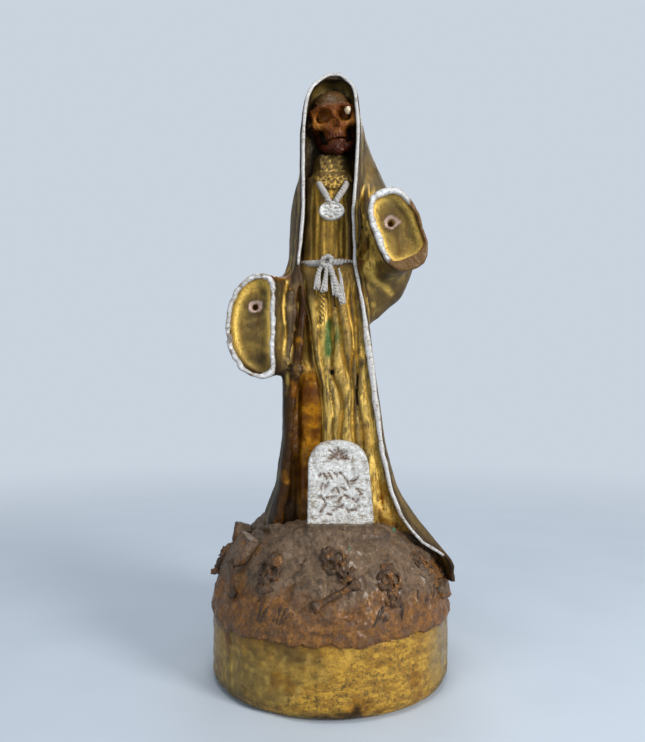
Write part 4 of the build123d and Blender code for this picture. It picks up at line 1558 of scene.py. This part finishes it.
def mark_robe(piece):
    """Amber, dull, painted sheen and pale areas of the cloak and sleeves, the dark lip bead, and painted
    shade in the hood, on the right shoulder and in the grooves.
    """
    points, normals = mark_relief(piece, 12, 0.3, 70)
    x, y, z = points.T
    r = patches(points, 12, 1)
    rows = np.array(LIP_BEAD)
    lip_x, lip_ahead = (np.interp(z, rows[:, 0], rows[:, k]) for k in (1, 2))
    near = np.hypot(x - lip_x, y + lip_ahead)
    bead = step_down(near, 2.0, 4.0) * step_down(z, 184, 198)
    under = step_up(-normals[:, 2], 0.3, 0.8) * (x < -18) * (z > 140)
    left_wall = step_up(x, 12.5, 14) * step_down(x, 18, 24) * step_up(z, 180, 190) * step_down(z, 236, 248)
    left_wall = 0.6 * left_wall * step_down(y, -14, -6) * step_up(r, -0.3, 0.5)
    inner = step_down(x, -49.5, -47) * step_down(y, 3 - MOUTH[-1], 5 - MOUTH[-1]) * (z < 185)
    foot = 0.7 * step_down(z, 80, 112) * step_up(y, -22, 0) * step_down(x, -20, -8) * step_up(r, -0.6, 0.3)
    attribute(piece, "amber", np.maximum.reduce([bead, 0.9 * under, 0.75 * left_wall, foot, 0.7 * inner]))
    # Painted shade on the figure's right shoulder
    shoulder = step_up(z, 176, 200) * step_down(x, -13, -9) * step_up(y, -22, -12)
    back = step_up(y, 4, 26) * 0.5
    forward = read_line(CLOAK_FRONT, z)
    cx, cy, rx, ry = read_rows(CLOAK_OVALS, z)
    inside = oval_field(x, y, cx, cy, rx - CLOAK_WALL / 2, ry - CLOAK_WALL / 2, cloak_power(z)) < 0
    inside = inside & (z < FIGURE_TOP - CLOAK_WALL / 2)
    # The inside of the hood is painted in shade
    lining = step_up(z, 236, 250) * inside * (y < 0) * (y > 0.6 - forward)
    inner_wall = step_up(x, 11, 13) * step_down(x, 20, 24) * step_down(y, -8, -2)
    inner_wall = inner_wall * step_up(z, 194, 204) * step_down(z, 232, 244)
    upper = 0.5 * step_up(z, 210, 240) * (1 - inner_wall)
    left_arm = 0.35 * step_up(x, 14, 18) * step_up(z, 168, 176) * step_down(z, 240, 250)
    foot_right = 0.5 * step_down(z, 80, 100) * step_up(x, 25, 38)
    attribute(piece, "dull_paint_and_shade", np.maximum.reduce([0.6 * shoulder, back, upper, lining, left_arm, foot_right]))
    attribute(piece, "crest", inner_wall * step_up(r, -1.0, -0.1))
    # Dark marks: painted shade in the hood lining and beside the jaw, the lip bead's own dark resin, and
    # darker cloth left of the lip
    beside = lining * step_down(z, 278, 292)
    flank = 0.85 * step_up(lip_x - x, 0.8, 2.8) * step_down(y, -10, -2) * step_down(z, 150, 172)
    flank = flank * step_up(r, -1.0, -0.1)
    dark = [beside, 0.85 * lining, 0.72 * bead * step_up(r, -1.1, -0.1), flank]
    # Painted shade in the grooves of the left sleeve's inner wall
    for groove_x, lean, _ in ROOT_GROOVES[1]:
        groove = bell(x - groove_line(groove_x, lean, z), GROOVE_WIDTH)
        dark.append(0.45 * inner_wall * (z > 206) * (y > 5 - MOUTH[1]) * groove)
    attribute(piece, "dark", np.maximum.reduce(dark))
    # Painted grey sheen at the elbow, the hood's side, the train and the pocket floors
    elbow = step_up(x, 26, 36) * step_down(z, 205, 226) * step_up(z, 168, 184)
    hood_side = step_up(x, 12, 17) * step_up(z, 222, 246) * 0.6
    train = step_down(z, 66, 88) * step_up(x, 30, 46) * 0.75
    pocket = 0.35 * (y < 5 - MOUTH[-1]) * (normals[:, 1] < -0.8) * (np.abs(x) > 14)
    painted_sheen = np.maximum.reduce([0.1 * elbow, 0.8 * hood_side, 0.05 * train]) * step_up(r, -1.2, 0.2)
    attribute(piece, "painted_sheen", np.maximum(painted_sheen, pocket))
    pale = np.zeros(len(points))
    chips = patches(points, 3, 2)
    for side, (hole_x, hole_z) in HOLE.items():
        near = np.hypot(x - hole_x - 0.4, z - hole_z - 0.3) + 0.7 * chips
        ahead = y < -MOUTH[side] + POCKET_DEPTH + 2.0
        pale = np.maximum(pale, step_down(near, 2.8, 3.5) * ahead * (near > 1.3))
    attribute(piece, "pale", pale)


def mark_dress(piece):
    """Gold crests and amber hollows of the skirt and bodice, and the scrap of green on the pleats."""
    points, _ = mark_relief(piece, 16, 0.4, 60)
    x, y, z = points.T
    stand = -y - read_line(CLOAK_FRONT, z) + skirt_bulge(x, z)
    high_right = step_up(x, 3, 7) * step_up(z, 132, 152)
    attribute(piece, "crest", step_up(stand, -1.2, -0.35) * step_down(z, 176, 192) * (1 - 0.65 * high_right))
    r = patches(points, 9, 3)
    edge = panel_edge(z)
    panel = step_up(edge - x, -0.8, 0.8) * step_down(z, 148 - 3 * r, 158 - 3 * r)
    recess = 0.5 * step_up(edge - x, -0.2, 2.0) * step_up(z, 150, 160) * step_down(z, 178, 190)
    right = 0.55 * step_up(x, 12, 18) * step_down(z, 118, 142) * step_up(r, -0.1, 0.7)
    right = np.maximum(right, 0.9 * step_up(x, 18, 24) * step_down(z, 92, 106) * step_up(r, -1.0, 0.1))
    attribute(piece, "amber", np.maximum.reduce([panel, recess, right]))
    sides = step_up(np.abs(x + 0.6), 6, 8.5) * step_up(z, 206, 212)
    top = step_up(z, 186, 198) * step_down(z, 204, 206) * 0.75
    neck = step_up(z, 246, 249)
    attribute(piece, "dull_paint_and_shade", np.maximum.reduce([sides, neck, top]))
    # Darker towards the panel's left edge and foot, and painted shade in the slot and the pit
    panel_dark = panel * (0.4 * step_down(x, -17.5, -13.5) + 0.5 * step_down(z, 84, 100))
    sunk = step_down(stand, -1.0, -0.3)
    slot = step_down(np.hypot((x - 12.9) / 1.3, (z - 143) / 9), 0.75, 1) * sunk
    pit = step_down(np.hypot(x - 0.7, z - 151.3), 1.0, 1.6) * sunk
    attribute(piece, "dark", np.maximum.reduce([panel_dark, slot, pit]))
    smear = bell(x + 0.9 + 0.5 * r, 1.7) * step_up(z, 155, 163) * step_down(z, 174, 180)
    smear = np.maximum(smear, 0.5 * spot(x - 3.6, z - 170, 1.8, 5))
    attribute(piece, "green", np.clip(1.4 * smear, 0, 0.95) * (z < WAIST))


def mark_mound(piece):
    """Bare amber low on the mound and where it is rubbed, and two green dots."""
    points, _ = mark_relief(piece, 8, 0.3)
    x, y, z = points.T
    r = patches(points, 16, 4)
    low_band = step_down(z - 4 * r, 46, 57)
    rubbed = step_up(r, 0.25, 0.65) * np.maximum(step_down(x, -34, -26), step_down(z, 56, 62))
    attribute(piece, "amber", np.maximum(low_band, 0.9 * rubbed))
    specks = np.zeros(len(points))
    for sx, sz in ((8.2, 72), (30.5, 76.0)):
        specks = np.maximum(specks, step_down(np.hypot(x - sx, z - sz), 0.4, 0.8) * (y < 0))
    attribute(piece, "green", specks)


def mark_plinth(piece):
    """Painted shade at the ends, a painted highlight on the front, painted reflections on the rims, and
    stains at the foot of the plinth.
    """
    points, _ = mark_relief(piece, 8, 0.3)
    x, y, z = points.T
    r = patches(points, 15, 5)
    # Painted shade where the drum turns away from the light at both ends
    left = step_down(x, -30, 4)
    far_right = step_up(x, 40, 53)
    front = step_down(y, -10, 20)
    attribute(piece, "dull_paint_and_shade", np.clip(0.8 * left + 0.9 * far_right + 0.3 * r, 0, 1))
    brown = 0.4 * step_up(z, 16, 33) * step_down(x, -14, 16) + 0.5 * step_up(r, 0.45, 0.9)
    attribute(piece, "amber", brown)
    # Painted highlight across the front, where the light falls most
    edge = np.interp(z, (2, 12, 32), (-24, -12, 12)) + 9 * r
    attribute(piece, "bright", step_up(x - edge, -3, 5) * step_down(x, 40, 51) * front)
    ragged = patches(points, 6, 8)
    stain = step_down(z - 3 * ragged, 4, 9) * step_down(np.abs(x - 3) - 3 * ragged, 8, 13) * front
    attribute(piece, "dark", 0.9 * stain)
    attribute(piece, "green", 0.4 * step_down(z, 2, 5) * bell(x + 14, 4) * front)
    # Painted grey reflections on the rims at both ends
    attribute(piece, "painted_sheen", 0.55 * np.maximum(far_right, step_down(x, -59, -50)) * step_up(z, 6, 18))


def mark_head(piece):
    """Painted shade in the mouth and under the cheeks, a dull crown that is partly painted shade from the
    hood, and painted highlights on the cheekbones.
    """
    points, _ = mark_relief(piece, 6, 0.16)
    back = np.array(HEAD_PLACE.inverted())
    x, y, z = (points @ back[:3, :3].T + back[:3, 3]).T
    r = patches(points, 5, 6)
    teeth_row = 0.5 * bell(z + 9.6, 1.9) * (y < -6) * (np.abs(x) < 5)
    mouth = step_up(-z + 0.8 * r, 6.4, 9.0) * (1 - teeth_row)
    under_cheek = step_up(np.abs(x), 5.6, 8.0) * step_down(z, -5.6, -3.4)
    attribute(piece, "dark", np.maximum(mouth, under_cheek))
    attribute(piece, "dull_paint_and_shade", step_up(z + 0.6 * r, 2.8, 5.6))
    bright = spot(np.abs(x) - 6.2, z + 1.6, 2.4, 2.4)
    attribute(piece, "bright", np.clip(1.3 * bright, 0, 1))


def mark_rim(piece, side):
    """Chips in a cuff's white rim, and the stretch of the left one that has lost its paint."""
    points, _ = mark_relief(piece, 6, 0.2)
    r = patches(points, 7, 7)
    bare = step_up(r, 0.7, 0.85) * 0.7
    if side > 0:
        u, v = cuff_axes(points[:, 0], points[:, 2])
        turn = np.degrees(np.arctan2(u, v)) + 5 * r
        # White runs from the lower left over the top; the rest shows resin
        bare = np.clip(step_up(turn, 34, 42) + step_down(turn, -148, -142), 0, 1)
    attribute(piece, "bare", bare)
    attribute(piece, "bright", np.ones(len(points)))


# ---------------------------------------------------------------- pieces, materials and body

made = build_cloak()
made["cloak_trim"] = build_trim()
made["right_cuff_rim"] = build_cuff_rim(-1)
made["left_cuff_rim"] = build_cuff_rim(1)
made["skirt"], made["bodice"] = build_dress()
made["skull"], made["jaw"] = build_head()
BUILDERS = {
    "lace_collar": build_collar,
    "rope_belt": build_belt,
    "belt_knot": build_knot,
    "belt_tassels": build_tassels,
    "necklace": build_necklace,
    "medallion": build_medallion,
    "eye_bead": build_bead,
    "earth_mound": build_mound,
    "grave_skulls": build_grave_skulls,
    "grave_bones": build_grave_bones,
    "grave_ribs": build_grave_ribs,
    "grave_rocks": build_grave_rocks,
    "gravestone": build_gravestone,
    "gravestone_step": build_gravestone_step,
    "plinth": build_plinth,
}
for name, build in BUILDERS.items():
    made[name] = build()

for name in ("cloak", "right_sleeve", "left_sleeve"):
    mark_robe(made[name])
for name in ("skirt", "bodice"):
    mark_dress(made[name])
for name in ("lace_collar", "grave_skulls", "grave_bones", "grave_ribs", "grave_rocks", "gravestone_step"):
    mark_relief(made[name], 8, 0.2)
attribute(made["lace_collar"], "dull_paint_and_shade", np.full(len(made["lace_collar"].data.vertices), 0.4))
for name in ("grave_skulls", "grave_bones", "grave_rocks"):
    attribute(made[name], "amber", 0.9 * step_up(patches(mesh_arrays(made[name])[0], 4.5, 11), 0.15, 0.5))
for name in ("rope_belt", "belt_knot", "belt_tassels", "necklace", "medallion", "gravestone", "cloak_trim"):
    mark_relief(made[name], 3, 0.12)
for name in ("cloak_trim", "rope_belt", "belt_knot", "belt_tassels", "necklace"):
    attribute(made[name], "bright", np.ones(len(made[name].data.vertices)))
mark_rim(made["right_cuff_rim"], -1)
mark_rim(made["left_cuff_rim"], 1)
mark_mound(made["earth_mound"])
mark_plinth(made["plinth"])
mark_head(made["skull"])
mark_head(made["jaw"])

looks = {
    "plinth_gold": gold_paint("plinth_gold", (0.60, 0.345, 0.05), OLIVE, 0.5, 1.3, (0.4, 0.4, 1)),
    "earth": earth_paint("earth"),
    "grave_bone": earth_paint("grave_bone", (0.078, 0.043, 0.021), 0.9),
    "white_paint": white_paint("white_paint"),
    "robe_gold": gold_paint("robe_gold", GOLD, (0.12, 0.075, 0.02), 0.5),
    "cloak_gold": gold_paint("cloak_gold", (0.26, 0.16, 0.032), (0.105, 0.07, 0.02), 0.7),
    "amber_bone": resin_bone("amber_bone"),
    "bead_glass": pearl("bead_glass"),
}
SLOTS = {
    "plinth_gold": ("plinth",),
    "earth": ("earth_mound", "grave_rocks", "gravestone_step"),
    "grave_bone": ("grave_skulls", "grave_bones", "grave_ribs"),
    "white_paint": (
        "gravestone",
        "rope_belt",
        "belt_knot",
        "belt_tassels",
        "necklace",
        "medallion",
        "cloak_trim",
        "right_cuff_rim",
        "left_cuff_rim",
    ),
    "robe_gold": ("skirt", "bodice", "lace_collar"),
    "cloak_gold": ("cloak", "right_sleeve", "left_sleeve"),
    "amber_bone": ("skull", "jaw"),
    "bead_glass": ("eye_bead",),
}
for slot, names in SLOTS.items():
    for name in names:
        piece = made[name]
        piece.data.materials.append(looks[slot])
        piece.name = name + ".look"
        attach(piece, "root")
        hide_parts(name)

# ---------------------------------------------------------------- stage, lights and camera


def build_floor():
    """A wide pale floor that melts into the backdrop with distance."""
    bpy.ops.mesh.primitive_circle_add(vertices=96, radius=1.6, fill_type="TRIFAN", location=(0, 0, 0))
    floor = bpy.context.object
    floor.name = "floor"
    n = Nodes("pale_paper")
    n.colour = n.mix(n.window(n.noise(60, 3, 0.5), 0.3, 0.7), (0.47, 0.53, 0.60), (0.49, 0.55, 0.625))
    n.emboss((n.noise(1.2, 3, 0.6), 0.05, 0.1))
    material = n.finish({"Roughness": 0.85})
    paper = n.tree.nodes["Principled BSDF"]
    away = n.add("ShaderNodeVectorMath", operation="LENGTH")
    n.feed(away, {0: n.place})
    fade = n.window(away.outputs["Value"], 0.12, 0.9)
    clear = n.add("ShaderNodeBsdfTransparent")
    both = n.add("ShaderNodeMixShader")
    n.feed(both, {0: fade, 1: paper.outputs[0], 2: clear.outputs[0]})
    n.feed(n.tree.nodes["Material Output"], {"Surface": both.outputs[0]})
    floor.data.materials.append(material)


# Lights as (name, place, height of the point on the axis that they face, diameter, power in watts, colour)
LIGHTS = (
    ("key", (0.62, -0.6, 0.40), 0.12, 0.32, 8.0, (1.0, 0.975, 0.94)),
    ("top", (-0.05, -0.3, 0.95), 0.15, 0.4, 3.0, (1.0, 0.99, 0.97)),
    ("fill", (-0.7, -0.75, 0.3), 0.12, 0.5, 2.2, (0.96, 0.98, 1.0)),
    ("rim", (0.1, 0.9, 0.8), 0.2, 0.7, 3.0, (0.95, 0.98, 1.0)),
)
CAMERA_PLACE = (-0.0039, -0.360, 0.152)
CAMERA_LENS = 33.96
BACKDROP_COLOUR = (0.60, 0.67, 0.755, 1)
ROOM_STRENGTH = 0.55
SEEN_BACKDROP_STRENGTH = 0.98


def area_light(name, place, aim_height, size, power, colour):
    lamp = bpy.data.lights.new(name, "AREA")
    lamp.shape = "DISK"
    lamp.size = size
    lamp.energy = power
    lamp.color = colour
    light = bpy.data.objects.new(name, lamp)
    light.location = place
    light.rotation_euler = (Vector((0, 0, aim_height)) - Vector(place)).to_track_quat("-Z", "Y").to_euler()
    bpy.context.scene.collection.objects.link(light)


build_floor()
for light in LIGHTS:
    area_light(*light)

world = bpy.data.worlds.new("soft_room")
world.use_nodes = True
backdrop = world.node_tree.nodes["Background"]
backdrop.inputs["Color"].default_value = BACKDROP_COLOUR
sight = world.node_tree.nodes.new("ShaderNodeLightPath")
strength = world.node_tree.nodes.new("ShaderNodeMapRange")
strength.inputs["To Min"].default_value = ROOM_STRENGTH
strength.inputs["To Max"].default_value = SEEN_BACKDROP_STRENGTH
world.node_tree.links.new(sight.outputs["Is Camera Ray"], strength.inputs["Value"])
world.node_tree.links.new(strength.outputs[0], backdrop.inputs["Strength"])
bpy.context.scene.world = world

camera_data = bpy.data.cameras.new("photo_camera")
camera_data.lens = CAMERA_LENS
camera_data.sensor_width = 36
camera_data.clip_start = 0.01
camera = bpy.data.objects.new("photo_camera", camera_data)
camera.location = CAMERA_PLACE
camera.rotation_euler = (math.radians(90), 0, 0)
bpy.context.scene.collection.objects.link(camera)
bpy.context.scene.camera = camera
bpy.context.scene.view_settings.view_transform = "Standard"
